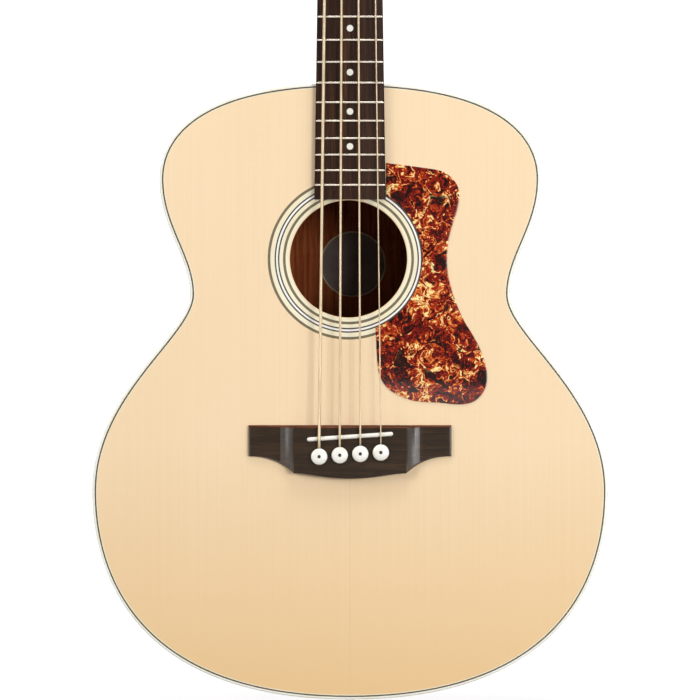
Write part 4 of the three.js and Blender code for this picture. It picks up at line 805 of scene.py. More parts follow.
pickguard = inMetres({
    "thickness": 1.0, "bevel": 0.7, "left": 21.4, "width": 93.7, "aboveBridge": 17.4, "aboveSoundhole": 80.6,
    "arcRadius": 62, "arcEnds": [22.7, 31.55], "besideBoard": 30.25,
})
pickguard["shares"] = np.array([  # of its width and height, from beside the board round to the soundhole
    (0.491, 0.976), (0.614, 0.961), (0.708, 0.925), (0.75, 0.879), (0.737, 0.818), (0.692, 0.747),
    (0.653, 0.676), (0.641, 0.597), (0.657, 0.526), (0.708, 0.44), (0.784, 0.355), (0.876, 0.284),
    (0.953, 0.212), (1, 0.126), (0.977, 0.062), (0.892, 0.016), (0.768, 0), (0.568, 0.007),
    (0.336, 0.016), (0.152, 0.052), (0.059, 0.098), (0.02, 0.162),
])


def makePickguard():  # a plate with a spline round its free edge and an arc round the soundhole
    guard, centre = pickguard, [soundhole["x"], soundhole["z"]]
    low, high = bridge["topZ"] + guard["aboveBridge"], soundhole["z"] + guard["aboveSoundhole"]
    angle = np.linspace(*np.arccos(guard["arcEnds"] / guard["arcRadius"]) * [-1, 1], 61)
    arc = centre + guard["arcRadius"] * np.column_stack([np.cos(angle), np.sin(angle)])
    free = [guard["left"], low] + guard["shares"] * [guard["width"], high - low]
    edge = splineThrough(np.vstack([(guard["besideBoard"], high), free, arc[0]]), 10)
    piece = plate("guard_plate", np.vstack([edge, arc[1:]]), -guard["thickness"], 0, guard["bevel"], 5)
    dress(piece, "tortoise_plastic", "pickguard")


# Bridge, saddle and pins

bridge = inMetres({
    "half": 85.2, "topZ": -775.6, "wingZ": -801.7, "cuspZ": -815.9, "centreZ": -820.4, "blockHalf": 47.2,
    "height": 9.5, "wing": 3.2, "scoopHandle": 50.95, "scoopFoot": 62.2, "wingHandle": 66.2,
    "sideHandle": 55.56, "cuspHandle": 37.76, "centreHandle": 21.24, "edgeRound": 2.2, "endRound": 1.44,
    "cornerStep": 0.35, "bevel": 2.1, "bevelRise": 1.6, "slotRoom": 0.06, "slotPast": 2, "holesPast": [-3, 2],
})
saddle = inMetres({"half": 36.15, "width": 3.6, "z": -785.1, "floor": -4.5, "rise": 6.2})
saddle |= {"slope": math.tan(math.radians(3.8)), "leastShare": 0.04, "endShare": 0.5}
pin = inMetres({  # radius and depth from the front, for the turned pin and for the dot in its head
    "belowSaddle": 14.9, "hole": 2.8, "slotRoom": 0.25,
    "turned": [
        (0.2, 14), (1.4, 14), (2.1, 13.2), (2.2, 10), (2.5, -11.9), (5.9, -11.95), (6.55, -12.1),
        (6.85, -12.6), (6.85, -13.0), (6.6, -13.6), (6.0, -14.15), (5.0, -14.6), (3.6, -14.95), (2.2, -15.12),
        (0.2, -15.15)],
    "dot": [(1.6, -14.2), (1.6, -15.08), (1.3, -15.2), (0.2, -15.22)],
})


def saddlePlace(i):  # strings spaced evenly, along the slanted saddle line
    x = (i - 1.5) * strings["saddleGap"]
    return x, saddle["z"] + x * saddle["slope"]


def pinPlace(i):  # straight below the string's place on the saddle
    x, z = saddlePlace(i)
    return x, z - pin["belowSaddle"]


def pinHoles(front, back):  # cutters for the four pin holes, each with a slot for its string
    cutters = []
    for i in range(len(stringNames)):
        x, z = pinPlace(i)
        radius = strings["diameters"][i] / 2
        half, top = radius + pin["slotRoom"], z + strings["bendAbovePin"] + radius
        cutters.append(loft("cutter", boreRings(pin["hole"], front, back, x, z)))
        cutters.append(boxCutter([x - half, front, z], [x + half, back, top]))
    return cutters


def bridgeHeight(x):
    # The block's height, then a quadratic scoop down to the wings, which end in quarter rounds.
    scoop = bezier([(bridge["blockHalf"], bridge["height"]), (bridge["scoopHandle"], bridge["wing"]),
                    (bridge["scoopFoot"], bridge["wing"])], 40)
    radius = bridge["endRound"]
    past = np.maximum(np.abs(x) - (bridge["half"] - radius), 0)
    return np.interp(np.abs(x), *scoop.T) - radius + np.sqrt(np.maximum(radius ** 2 - past ** 2, 0))


def bridgeFoot():
    # Lower edge of the bridge from the middle to the treble end: the belly and the wing, as two cubics.
    centreZ, cuspZ, wingZ, block = (bridge[key] for key in ("centreZ", "cuspZ", "wingZ", "blockHalf"))
    belly = [(0, centreZ), (bridge["centreHandle"], centreZ), (bridge["cuspHandle"], cuspZ), (block, cuspZ)]
    wing = [(block, cuspZ), (bridge["sideHandle"], (wingZ + cuspZ) / 2), (bridge["wingHandle"], wingZ),
            (bridge["half"], wingZ)]
    return np.vstack([bezier(belly, 40), bezier(wing, 40)[1:]])


def makeBridge():
    # Sections along x: an upright skirt, a chamfer at the upper edge, a flat top and a quarter round below.
    block, foot, half, step = bridge["blockHalf"], bridge["scoopFoot"], bridge["half"], bridge["cornerStep"]
    turn = np.linspace(0, math.pi / 2, 7)
    end = half - bridge["endRound"]
    places = np.concatenate([
        np.linspace(0, block - step, 16), [block, block + step], np.linspace(block + 3 * step, foot, 16),
        np.linspace(foot, end, 9)[1:], end + bridge["endRound"] * np.sin(turn[1:])])
    x = np.concatenate([-places[:0:-1], places])[:, None]
    high, low = bridgeHeight(x), np.interp(np.abs(x), *bridgeFoot().T)
    radius, bevel = np.minimum(bridge["edgeRound"], high / 2), np.minimum(bridge["bevel"], high / 2)
    share, corner = np.linspace(0, 1, 7), turn[::-1]
    rise = bevel * bridge["bevelRise"] / bridge["bevel"]
    z = np.hstack([
        0 * x + bridge["topZ"], bridge["topZ"] - bevel * share, low + radius * (1 - np.cos(corner)), low])
    y = np.hstack([0 * x, high - rise * (1 - share), high - radius * (1 - np.sin(corner)), 0 * x])
    piece = loft("bridge_body", gridOf(x, -y, z), sharpAngle=36)
    outline, front, past = saddleOutline(bridge["slotRoom"]), -bridge["height"], bridge["holesPast"]
    slot = loft("cutter", [atDepth(outline, y) for y in (saddle["floor"], front - bridge["slotPast"])])
    carve(piece, pinHoles(front + past[0], past[1]) + [slot], 36)
    dress(piece, "rosewood_bridge", "bridge")
    faceFinish(piece, "rosewood_scoop", [1, 0, 0], 0.1)
    faceFinish(piece, "rosewood_scoop", [-1, 0, 0], 0.1)
    # the chamfer's upward faces get painted highlight and painted reflection of the spruce, as a lighter,
    # redder copy
    faceFinish(piece, "rosewood_bevel", [0, 0, 1], 0.45)


def saddleOutline(grow):  # two half circles joined by straight sides, along the slanted saddle line
    radius = saddle["width"] / 2 + grow
    angle = np.linspace(-math.pi / 2, math.pi / 2, 13)
    x = saddle["half"] - saddle["width"] / 2 + radius * np.cos(angle)
    right = np.column_stack([x, radius * np.sin(angle)])
    x, z = np.vstack([right, -right]).T
    return np.column_stack([x, saddle["z"] + x * saddle["slope"] + z])


def makeSaddle():
    # Rings drawn in by cos a, at r (1 - sin a) below a crown that follows the strings' arc.
    x, z = saddleOutline(0).T
    across = z - saddle["z"] - x * saddle["slope"]
    crown = boardTop(x) - saddle["rise"]
    radius = saddle["width"] / 2
    rings = [gridOf(x, saddle["floor"], z)]
    for angle in np.linspace(0, math.pi / 2, 8):
        draw = max(math.cos(angle), saddle["leastShare"])
        drawn = np.sign(x) * (np.abs(x) - radius * saddle["endShare"] * (1 - draw))
        line = saddle["z"] + drawn * saddle["slope"]
        rings.append(gridOf(drawn, crown + radius * (1 - math.sin(angle)), line + across * draw))
    dress(loft("saddle_blade", rings, sharpAngle=50), "bone_white", "saddle")


def makePins():  # turned pins with a flat dome, and a dark dot let into each head
    looks = {"turned": ("bone_white", "bone_white"), "dot": ("black_plastic", "dark_line")}
    for i, name in enumerate(stringNames):
        for part, (finish, slot) in looks.items():
            piece = loft(f"pin_{name}_{part}", lathe(pin[part], 48, *pinPlace(i)), sharpAngle=28)
            dress(piece, finish, f"bridge_pin_{name}", f"pin_{name}")


# Neck, headstock and nut

neck = inMetres({
    "depthPlaces": [0, -207, -414], "depths": [15.5, 16.75, 18], "heelHandle": (-459.2, 50),
    "heelTop": -464, "heelFull": 117, "heelCut": 100, "heelFoot": -474, "intoBody": 1.6, "overBody": 2,
    "upperPlaces": [-400, -6], "capFace": 103.3, "capRound": 0.5, "capEnds": [1.4, -0.3], "capTip": 0.3,
})
neck |= {"widePower": 0.85, "deepPower": 0.9, "points": 49}
head = inMetres({
    "startZ": 6, "half": 39.5, "length": 198, "thickness": 15, "startHalf": 20.95, "veneer": 2,
    "veneerRound": 0.5, "blendLength": 34, "blendStep": 1, "tipHalf": 0.5, "postX": 24,
    "postHeights": [60, 134, 134, 60], "postHole": 6.05, "holeEnds": [-4, 20], "veneerHoleEnds": [-4, 4],
    "rodRecess": [(-6.5, -6.5, 6.3), (6.5, 10, 36.3)], "veneerRecess": [(-6.5, -4, 0.3), (6.5, 4, 30)],
})
head |= {  # side holds shares of the half width and of the length, upwards
    "tilt": math.radians(14), "postSides": [-1, -1, 1, 1], "squaring": 0.86, "side": [
        (0.8, 0.1), (0.88, 0.2), (0.915, 0.34), (0.92, 0.5), (0.935, 0.68), (0.965, 0.84), (1, 0.965)],
}


def headEdge():
    # Half outline of the headstock: a spline up the side, then a quadratic over the top.
    half, length = head["half"], head["length"]
    side = splineThrough(np.vstack([(head["startHalf"], 0), np.multiply(head["side"], [half, length])]), 12)
    top = bezier([side[-1], (half / 2, length), (0, length)], 24)
    return np.vstack([side, top[1:]])


def onHead(points):  # points across, behind and up the headstock, turned back by its tilt
    x, depth, height = np.moveaxis(points, -1, 0)
    cos, sin = math.cos(head["tilt"]), math.sin(head["tilt"])
    return gridOf(x, depth * cos + height * sin, head["startZ"] - depth * sin + height * cos)


def placeOnHead(piece, post=None):
    # Tilts a piece with the headstock; one made for a post goes there first, mirrored on the bass side.
    side, out, up = 1, 0, 0
    if post is not None:
        side, out, up = head["postSides"][post], head["postX"], head["postHeights"][post]
    cos, sin = math.cos(head["tilt"]), math.sin(head["tilt"])
    piece.data.transform(Matrix((
        (side, 0, 0, side * out), (0, cos, sin, up * sin),
        (0, -sin, cos, head["startZ"] + up * cos), (0, 0, 0, 1))))
    if side < 0:
        piece.data.flip_normals()
    return piece


def postBores(front, back):  # rings of the four post holes, flat on the headstock's face
    places = zip(np.multiply(head["postSides"], head["postX"]), head["postHeights"])
    return [boreRings(head["postHole"], front, back, x, z) for x, z in places]


def neckSection(half, depth, power=1.0):
    # Half a superellipse: half cos^p a across and depth sin^q a behind.
    angle = np.linspace(0, math.pi, neck["points"])
    x = half * np.sign(np.cos(angle)) * np.abs(np.cos(angle)) ** (neck["widePower"] * power)
    return x, depth * np.abs(np.sin(angle)) ** (neck["deepPower"] * power)


def heelCurve():  # place and depth from the plain neck down to the heel
    start, depth, top = neck["depthPlaces"][-1], neck["depths"][-1], neck["heelTop"]
    corners = [(start, depth), ((start + 2 * top) / 3, depth), neck["heelHandle"], (top, neck["heelFull"])]
    return bezier(corners, 48)


def neckDepth(z):  # straight lines between the neck's depths, then along the heel's curve
    heel = heelCurve()
    places = np.concatenate([neck["depthPlaces"], heel[1:, 0], [-1]])
    return np.interp(-z, -places, np.concatenate([neck["depths"], heel[1:, 1], [neck["heelFull"]]]))


def makeNeck():
    # One sweep of sections: round at the neck, deepening into the heel, and squaring up along the headstock.
    z = np.concatenate([
        [body["topZ"] - neck["intoBody"], body["topZ"] + neck["overBody"], neck["heelFoot"]],
        heelCurve()[::-1, 0], np.linspace(*neck["upperPlaces"], 40), [0]])[:, None]
    x, y = neckSection(boardHalf(z), neckDepth(z))
    lower = gridOf(x, np.minimum(y, neck["heelCut"]), z)
    edge, blend = headEdge(), head["blendLength"]
    step = head["blendStep"]
    z = np.concatenate([np.linspace(step, blend, 18), edge[edge[:, 1] > blend + step, 1]])[:, None]
    half = np.maximum(np.interp(z, edge[:, 1], edge[:, 0]), head["tipHalf"])
    share = np.minimum(z / blend, 1)
    share = share * share * (3 - 2 * share)
    depth = neck["depths"][0] + share * (head["thickness"] - neck["depths"][0])
    x, y = neckSection(half, depth, 1 - share * head["squaring"])
    piece = loft("neck_wood", np.concatenate([lower, onHead(gridOf(x, y, z))]), sharpAngle=40)
    cutters = [loft("cutter", onHead(rings)) for rings in postBores(*head["holeEnds"])]
    carve(piece, cutters + [boxCutter(*head["rodRecess"])], 40)
    dress(piece, "mahogany_neck", "neck")


def makeHeelCap():
    # A cap in the heel's own section: half cos^p a, where sin^q a is the cut's share of the depth.
    z = np.linspace(neck["heelTop"] + neck["capEnds"][0], body["topZ"] + neck["capEnds"][1], 30)
    share = np.minimum(neck["heelCut"] / neckDepth(z), 1) ** (1 / neck["deepPower"])
    half = boardHalf(z) * np.maximum(1 - share ** 2, 0) ** (neck["widePower"] / 2)
    outline = mirrored(np.column_stack([half, z])[half > neck["capTip"]])
    cap = plate("heel_cap_plate", outline, neck["capFace"], neck["heelCut"], neck["capRound"])
    dress(cap, "black_plastic", "heel_cap")


def makeVeneer():  # the headstock's outline as a plate, with the post holes and the rod's recess
    piece = plate("head_veneer", mirrored(headEdge()), -head["veneer"], 0, head["veneerRound"])
    cutters = [loft("cutter", rings) for rings in postBores(*head["veneerHoleEnds"])]
    carve(piece, cutters + [boxCutter(*head["veneerRecess"])])
    dress(placeOnHead(piece), "rosewood_veneer", "headstock_veneer")


rodCover = inMetres({  # control points of its side and tip, across and up the headstock
    "side": [(13, 0.9), (13, 17), (3.5, 22), (3.25, 42)], "tip": [(3.25, 42), (3.25, 45), (0, 45)],
    "front": -3.9, "back": -2, "round": 0.5,
})


def makeRodCover():  # a plate whose half outline is a cubic up the side and a quadratic over it
    half = np.vstack([bezier(rodCover["side"], 24), bezier(rodCover["tip"], 8)[1:]])
    piece = plate("rod_cover_plate", mirrored(half), rodCover["front"], rodCover["back"], rodCover["round"])
    dress(placeOnHead(piece), "black_plastic", "truss_rod_cover")


nut = inMetres({  # its section across z, as pairs of z and depth from the glue line
    "section": [
        (0, 0), (0, -8.6), (0.35, -9.2), (1.0, -9.5), (2.4, -9.52), (4.4, -8.6), (5.6, -7.3), (6, -6.2),
        (6, 0)],
    "ends": [0, 0.4], "endFlat": 2, "crownFrom": -5, "grooveRoom": 0.05, "grooveZ": [-2, 2, 8],
    "grooveDrop": [0, 0, 2.6],
})
nut["endDraw"] = 0.04


def nutPlace(i):  # a string's middle over the nut: its gap and its radius above the board
    x = (i - 1.5) * strings["nutGap"]
    return x, boardTop(x) - strings["aboveBoardAtNut"] - strings["diameters"][i] / 2


def makeNut():
    # Bone block: its section carried across, over the board's arc, and cut by the four string grooves.
    half = fingerboard["halfAtNut"]
    middle = np.linspace(-half + nut["endFlat"], half - nut["endFlat"], 9)
    x = np.concatenate([-half + nut["ends"], middle, half - nut["ends"][::-1]])[:, None]
    z, y = nut["section"].T
    draw = 1 - nut["endDraw"] * (np.abs(x) >= half)
    piece = loft("nut_block", gridOf(x, y * draw + arcDrop(x) * (y < nut["crownFrom"]), z), sharpAngle=40)
    cutters = []
    for i in range(len(stringNames)):
        x, y = nutPlace(i)
        radius = strings["diameters"][i] / 2 + nut["grooveRoom"]
        path = gridOf(x, y + nut["grooveDrop"], nut["grooveZ"])
        cutters.append(loft("cutter", tubeAlong(path, radius, 16, (1, 0, 0))))
    dress(carve(piece, cutters, 40), "bone_white", "nut")


# Strings

strings = inMetres({
    "diameters": [2.54, 2.03, 1.65, 1.14], "nutGap": 10.8, "saddleGap": 17.2, "aboveBoardAtNut": 1.5,
    "aboveBoardAtSaddle": 6.5, "bendY": -9.2, "bendAbovePin": 5.3, "reaches": [3, 1.6, 1.2],
    "windPitch": 0.62, "postRadius": 4.9, "coilStart": 4.2, "coilGap": 0.55, "ballFront": 6.3,
    "ball": [(0.3, 6.3), (2.2, 6.3), (2.6, 6.8), (2.1, 9), (2.6, 11.2), (2.2, 11.7), (0.3, 11.7)],
})
strings |= {"sides": 12, "turns": 2}


def rounded(corners, reaches, steps=8):
    # A path whose inner corners become quadratic curves that start and end at a given reach.
    path = [corners[:1]]
    for before, corner, after, reach in zip(corners[:-2], corners[1:-1], corners[2:], reaches):
        start, end = corner + reach * unit(before - corner), corner + reach * unit(after - corner)
        path.append(bezier([start, corner, end], steps))
    return np.vstack([*path, corners[-1:]])


def stringPath(i):
    # From the ball through the bridge, over saddle and nut, then round the post in a helix.
    radius = strings["diameters"][i] / 2
    side, up = head["postSides"][i], head["postHeights"][i]
    centre = np.array([side * head["postX"], up])
    saddleX, saddleZ = saddlePlace(i)
    saddleY = boardTop(saddleX) - strings["aboveBoardAtSaddle"] - radius
    nutX, nutY = nutPlace(i)
    away = centre - [nutX, -head["startZ"]]
    wrap = strings["postRadius"] + radius
    lean = math.asin(wrap / np.linalg.norm(away))
    turn = np.linspace(0, strings["turns"], 97)
    angle = math.atan2(away[1], away[0]) + side * (lean + math.pi / 2 - 2 * math.pi * turn)
    depth = -(strings["coilStart"] + radius) - (2 * radius + strings["coilGap"]) * turn
    coil = onHead(gridOf(centre[0] + wrap * np.cos(angle), depth, centre[1] + wrap * np.sin(angle)))
    bendZ = pinPlace(i)[1] + strings["bendAbovePin"]
    corners = np.array([
        (saddleX, strings["ballFront"], bendZ), (saddleX, strings["bendY"], bendZ),
        (saddleX, saddleY, saddleZ), (nutX, nutY, 0), coil[0]])
    path = rounded(corners, strings["reaches"])
    return np.vstack([path[:-1], np.linspace(path[-2], coil[0], 12)[1:-1], coil])


def makeStrings():  # each a round tube with the distance along it as an attribute, and a turned ball
    for i, name in enumerate(stringNames):
        path, sides = stringPath(i), strings["sides"]
        tube = tubeAlong(path, strings["diameters"][i] / 2, sides, (1, 0.02, 0.01))
        piece = loft(f"string_{name}_wound", tube, merge=False, sharpAngle=60)
        along = piece.data.attributes.new("along", "FLOAT", "POINT")
        along.data.foreach_set("value", np.repeat(distanceAlong(path), sides).astype(np.float32))
        x, z = pinPlace(i)
        ball = loft(f"string_{name}_ball", lathe(strings["ball"], 24, x, z + strings["bendAbovePin"]))
        dress(piece, "wound_bronze", f"string_{name}")
        dress(ball, "nut_brass", f"string_{name}")


# Tuners, each made for the treble side and placed at its post

tuner = inMetres({  # profiles are pairs of radius and place along the axis
    "plateFront": 15, "plateBack": 16.8, "plateHalf": 8.1, "plateLow": -15.12, "plateHigh": 10.12,
    "plateRound": 0.5, "plateCorner": 1.6, "plateHole": 4.75, "holeEnds": [12, 20], "earInner": 5.8,
    "earOuter": 7.8, "earHalf": 4.3, "earSunk": 0.3, "earBore": 2.15, "boreEnds": [-10, 10],
    "gearMiddle": 20.8, "gearThickness": 4.5, "gearEase": 0.25, "gearScrew": 2.6, "gearScrewFace": 24.45,
    "pitch": 2.6, "wormRadius": 3, "wormLength": 11, "wormSunk": 0.3, "addendum": 0.7, "dedendum": 1,
    "toothWidth": 1, "button": 35.5, "buttonLength": 24, "buttonWidth": 20, "buttonThickness": 5,
    "postSlot": [(-1.4, -24, -7), (1.4, -19.2, 7)], "screw": 1.25,
    "screwPlaces": [(-6, 0, 5.2), (6, 0, 5.2), (-5.6, 0, -3.9), (5.6, 0, -3.9)],
    "post": [
        (0.2, 24.6), (2.9, 24.45), (3.22, 24.3), (3.68, 23.0), (3.7, 22.75), (5.2, 20.8), (5.2, 17.1),
        (4.6, 17.1), (4.6, -18.6), (5.5, -18.9), (5.5, -22.3), (5.35, -22.8), (4.9, -23), (0.2, -23)],
    "shaft": [
        (0.2, -8.1), (1.7, -8.1), (2.0, -7.8), (2.0, 8.4), (3.0, 8.5), (3.2, 8.9), (3.2, 9.9), (3.0, 10.3),
        (2.0, 10.5), (2.0, 20.6), (2.9, 21.6), (3.1, 22.6), (2.9, 23.6), (2.4, 24.2), (0.2, 25.2)],
    "bushing": [
        (4.75, -3.9), (6.6, -3.9), (7.15, -3.7), (7.4, -3.2), (7.4, -2.0), (6.0, -2.0), (6.0, 5.7),
        (4.75, 5.7)],
})
tuner |= {"teeth": 16, "flank": 0.36, "wormEase": 0.15, "buttonPower": 2.6, "buttonDraw": 0.14}
tuner |= {"buttonEdge": 0.35, "leastShare": 0.02, "earFoot": 1.15, "cornerShare": 0.3}
tuner["gearRadius"] = tuner["teeth"] * tuner["pitch"] / (2 * math.pi)
tuner["drop"] = tuner["gearRadius"] + tuner["wormRadius"]
keyAxis = np.array([0, tuner["gearMiddle"], -tuner["drop"]])


def toothHalf(above):  # half a tooth's width, which shrinks outwards by the slope of its flank
    return tuner["toothWidth"] / 2 - above * tuner["flank"]


def gearRings():
    # Teeth as trapezoids on the pitch circle, turned from front to back by the worm's lead.
    pitch, radius, thick = tuner["pitch"], tuner["gearRadius"], tuner["gearThickness"]
    slant = pitch / (2 * math.pi * tuner["wormRadius"]) * thick / 2 / radius
    share = np.linspace(-1, 1, 7)[:, None, None]
    tooth = np.arange(tuner["teeth"])[None, :, None]
    tip = tuner["addendum"] - tuner["gearEase"] * (np.abs(share) == 1)
    root = 0 * share - tuner["dedendum"]
    above = np.concatenate([root, tip, tip, root], axis=-1)
    middle = -math.pi / 2 + tooth * 2 * math.pi / tuner["teeth"] - share * slant
    reach = radius + above
    angle = middle + np.array([-1, -1, 1, 1]) * toothHalf(above) / reach
    rings = gridOf(reach * np.cos(angle), tuner["gearMiddle"] + share * thick / 2, reach * np.sin(angle))
    return rings.reshape(len(share), -1, 3)


def wormRings():
    # A trapezoid ridge carried along a helix of the worm's pitch, eased in at both ends.
    turns = tuner["wormLength"] / tuner["pitch"] - 1
    turn = np.linspace(-turns / 2, turns / 2, int(turns * 28))[:, None]
    ease = np.minimum(1, (turns / 2 - np.abs(turn)) / tuner["wormEase"])
    top = ease * (tuner["addendum"] + tuner["dedendum"]) - tuner["dedendum"]
    root = 0 * turn - tuner["dedendum"] - tuner["wormSunk"]
    above = np.hstack([root, top, top, root])
    x = turn * tuner["pitch"] + np.array([1, 1, -1, -1]) * toothHalf(above)
    radius, angle = tuner["wormRadius"] + above, turn * 2 * math.pi - math.pi / 2
    return gridOf(x, radius * np.cos(angle), radius * np.sin(angle))


def buttonRings():
    # Ellipses through the button's thickness, drawn in at s from the middle by (1 - s^p)^(1/p).
    angle = np.linspace(0, 2 * math.pi, 64, endpoint=False)
    share, power = np.linspace(-1, 1, 17)[:, None], tuner["buttonPower"]
    draw = np.maximum((1 - np.abs(share) ** power) ** (1 / power), tuner["leastShare"])
    reach = draw ** tuner["buttonEdge"] * (1 - tuner["buttonDraw"] * (1 - draw)) / 2
    x = tuner["button"] + tuner["buttonLength"] * reach * np.cos(angle)
    return gridOf(x, share * tuner["buttonThickness"] / 2, tuner["buttonWidth"] * reach * np.sin(angle))


screwHead = {"high": 0.45, "slotLong": 0.6, "slotWide": 0.13, "slotFrom": 0.45, "slotTo": 1.4}
screwHead |= inMetres({"tip": 0.1, "sunk": 0.2})


def makeScrew(name, radius, face):
    # A domed head, r cos a wide and h sin a high, with a cross recess, standing on a face that looks back.
    high, long, wide = (radius * screwHead[key] for key in ("high", "slotLong", "slotWide"))
    turn = np.linspace(0, math.pi / 2, 6)
    dome = np.column_stack([np.maximum(radius * np.cos(turn), screwHead["tip"]), face + high * np.sin(turn)])
    piece = loft(name, lathe(np.vstack([(radius, face - screwHead["sunk"]), dome]), 24), sharpAngle=40)
    low, top = face + high * screwHead["slotFrom"], face + high * screwHead["slotTo"]
    cross = [boxCutter([-x, low, -z], [x, top, z]) for x, z in [(long, wide), (wide, long)]]
    return carve(piece, cross, 40)


def makePost(i, name):  # a turned post with a slot for the string, its gear and the screw that holds it
    post = carve(loft(f"post_{name}_turned", lathe(tuner["post"], 48), sharpAngle=30),
                 [boxCutter(*tuner["postSlot"])], 30)
    gear = loft(f"gear_{name}_cut", gearRings(), sharpAngle=25)
    screw = makeScrew(f"gear_{name}_screw", tuner["gearScrew"], tuner["gearScrewFace"])
    for piece, finish in [(post, "nickel"), (gear, "nut_brass"), (screw, "nickel")]:
        dress(placeOnHead(piece, i), finish, f"tuner_post_{name}", f"post_{name}")


def makeKey(i, name):  # a shaft with collars turned about x, the worm's thread and the button
    for part, rings, sharpAngle in [
            ("shaft", lathe(tuner["shaft"], 32)[..., [1, 0, 2]], 35), ("button", buttonRings(), 50),
            ("worm", wormRings(), 40)]:
        piece = placeOnHead(loft(f"key_{name}_{part}", rings + keyAxis, sharpAngle=sharpAngle), i)
        dress(piece, "nickel", f"tuner_key_{name}", f"key_{name}")


def makeEar(inner, outer):  # an upright plate with a half-round end, bored for the key's shaft
    angle = np.linspace(math.pi, 0, 17)
    radius, foot = tuner["earHalf"], tuner["plateBack"] - tuner["earSunk"]
    y = np.concatenate([[foot], keyAxis[1] + radius * np.sin(angle), [foot]])
    z = keyAxis[2] + radius * np.concatenate([[-tuner["earFoot"]], np.cos(angle), [tuner["earFoot"]]])
    ear = loft("ear", gridOf(np.array([[inner], [outer]]), y, z))
    bore = boreRings(tuner["earBore"], *tuner["boreEnds"])[..., [1, 0, 2]]
    return carve(ear, [loft("cutter", bore + keyAxis)])


def makeTunerBase(i, name):  # a plate with a rounded head and cut corners, two ears, screws and a bushing
    half, low, high, corner = (tuner[f"plate{end}"] for end in ("Half", "Low", "High", "Corner"))
    crown = mirrored(bezier([(half, high / 2), (half, high), (0, high)], 10))
    cut = corner * tuner["cornerShare"]
    foot = [(-half, low + corner), (-half + cut, low + cut), (-half + corner, low)]
    outline = np.vstack([crown, foot, foot[::-1] * np.array([-1, 1])])
    base = plate(f"base_{name}_plate", outline, tuner["plateBack"], tuner["plateFront"], tuner["plateRound"])
    carve(base, [loft("cutter", boreRings(tuner["plateHole"], *tuner["holeEnds"]))])
    inner, outer = tuner["earInner"], tuner["earOuter"]
    base = joinPieces(f"base_{name}_body", [base, makeEar(inner, outer), makeEar(-outer, -inner)])
    screws = []
    for place in tuner["screwPlaces"]:
        screws.append(makeScrew("screw", tuner["screw"], tuner["plateBack"]))
        screws[-1].data.transform(Matrix.Translation(place))
    screws = joinPieces(f"base_{name}_screws", screws)
    bushing = loft(f"bushing_{name}_turned", lathe(tuner["bushing"], 48), loop=True)
    dress(placeOnHead(base, i), "nickel", f"tuner_base_{name}")
    dress(placeOnHead(screws, i), "rod_steel", f"tuner_base_{name}")
    dress(placeOnHead(bushing, i), "nickel", f"tuner_bushing_{name}")


def makeTuners():
    for i, name in enumerate(stringNames):
        makePost(i, name)
        makeKey(i, name)
        makeTunerBase(i, name)


# Strap buttons, and the CAD nodes that keep their own shape

strapButton = inMetres({  # pairs of radius and place along the axis; the foot stands at 0
    "profile": [
        (0.3, -13.7), (1.2, -13), (2.6, -10), (2.6, 0.2), (6.6, 0.2), (7, 0.6), (7, 1.5), (6.2, 2.3),
        (4.6, 3.2), (4.2, 4.2), (4.2, 8.2), (4.7, 9.6), (6.3, 11.6), (7, 12.6), (7, 13.2), (6.4, 13.9),
        (4.6, 14), (3.9, 13.2), (0.3, 13.2)],
    "screw": 3.2, "face": 13.2, "tailY": 62.5, "heelY": 103.3, "heelZ": -476,
})
keptNodes = {
    "mahogany": ["neck_block", "tail_block"],
    "brace_wood": [
        "lining_top_bass", "lining_top_treble", "lining_back_bass", "lining_back_treble", "transverse_brace",
        "cross_brace_treble", "cross_brace_bass", "tone_bar_upper", "tone_bar_lower"],
    "plate_maple": ["bridge_plate"],
    "rod_steel": ["truss_rod"],
    "nut_brass": ["truss_rod_nut"],
}


def makeStrapButtons():  # a turned foot, waist and rounded lip, on its screw
    down = Matrix.Rotation(math.radians(-90), 4, "X")
    tail = Matrix.Translation((0, strapButton["tailY"], body["tailZ"])) @ down
    heel = Matrix.Translation((0, strapButton["heelY"], strapButton["heelZ"]))
    for end, place in [("tail", tail), ("heel", heel)]:
        name = f"strap_button_{end}"
        button = loft(name, lathe(strapButton["profile"], 48), sharpAngle=34)
        for piece in (button, makeScrew(f"{name}_screw", strapButton["screw"], strapButton["face"])):
            piece.data.transform(place)
            dress(piece, "nickel", f"{end}_strap_button")


def finishKeptNodes():
    for finish, names in keptNodes.items():
        for name in names:
            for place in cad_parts[name].material_slots:
                place.material = finishes[finish]


# Floor, backdrop, light and camera

studio = {  # metres; the floor's paper glows from one strength to full between two distances
    "floorRadius": 3.4, "glowFrom": 0.25, "glowTo": 1.5, "glow": 0.78, "domeRadius": 30, "sky": 0.2,
    "cameraPlace": (0, -3.5, -0.7125), "lens": 214.4,
}
lights = {  # place, what it faces, width and height, and power in watts
    "right_softbox": ((1.75, -3.0, -0.55), (0, 0, -0.6), (1.15, 1.0), 57),
    "left_softbox": ((-2.8, -2.5, 0.7), (0, 0, -0.5), (1.4, 2.0), 52),
    "right_strip": ((2.45, -2.0, -0.6), (0, 0, -0.75), (0.8, 1.4), 16),
    "top_softbox": ((0.2, -0.95, 1.7), (0, 0, -0.75), (1.6, 0.8), 26),
    "right_panel": ((2.6, 0.3, -0.3), (0, 0.05, -0.6), (2.4, 2.4), 16),
    "left_panel": ((-2.6, 0.3, -0.3), (0, 0.05, -0.6), (2.4, 2.4), 16),
    "back_softbox": ((-1.2, 3.4, 1.2), (0, 0, -0.5), (3.6, 2.8), 56),
}


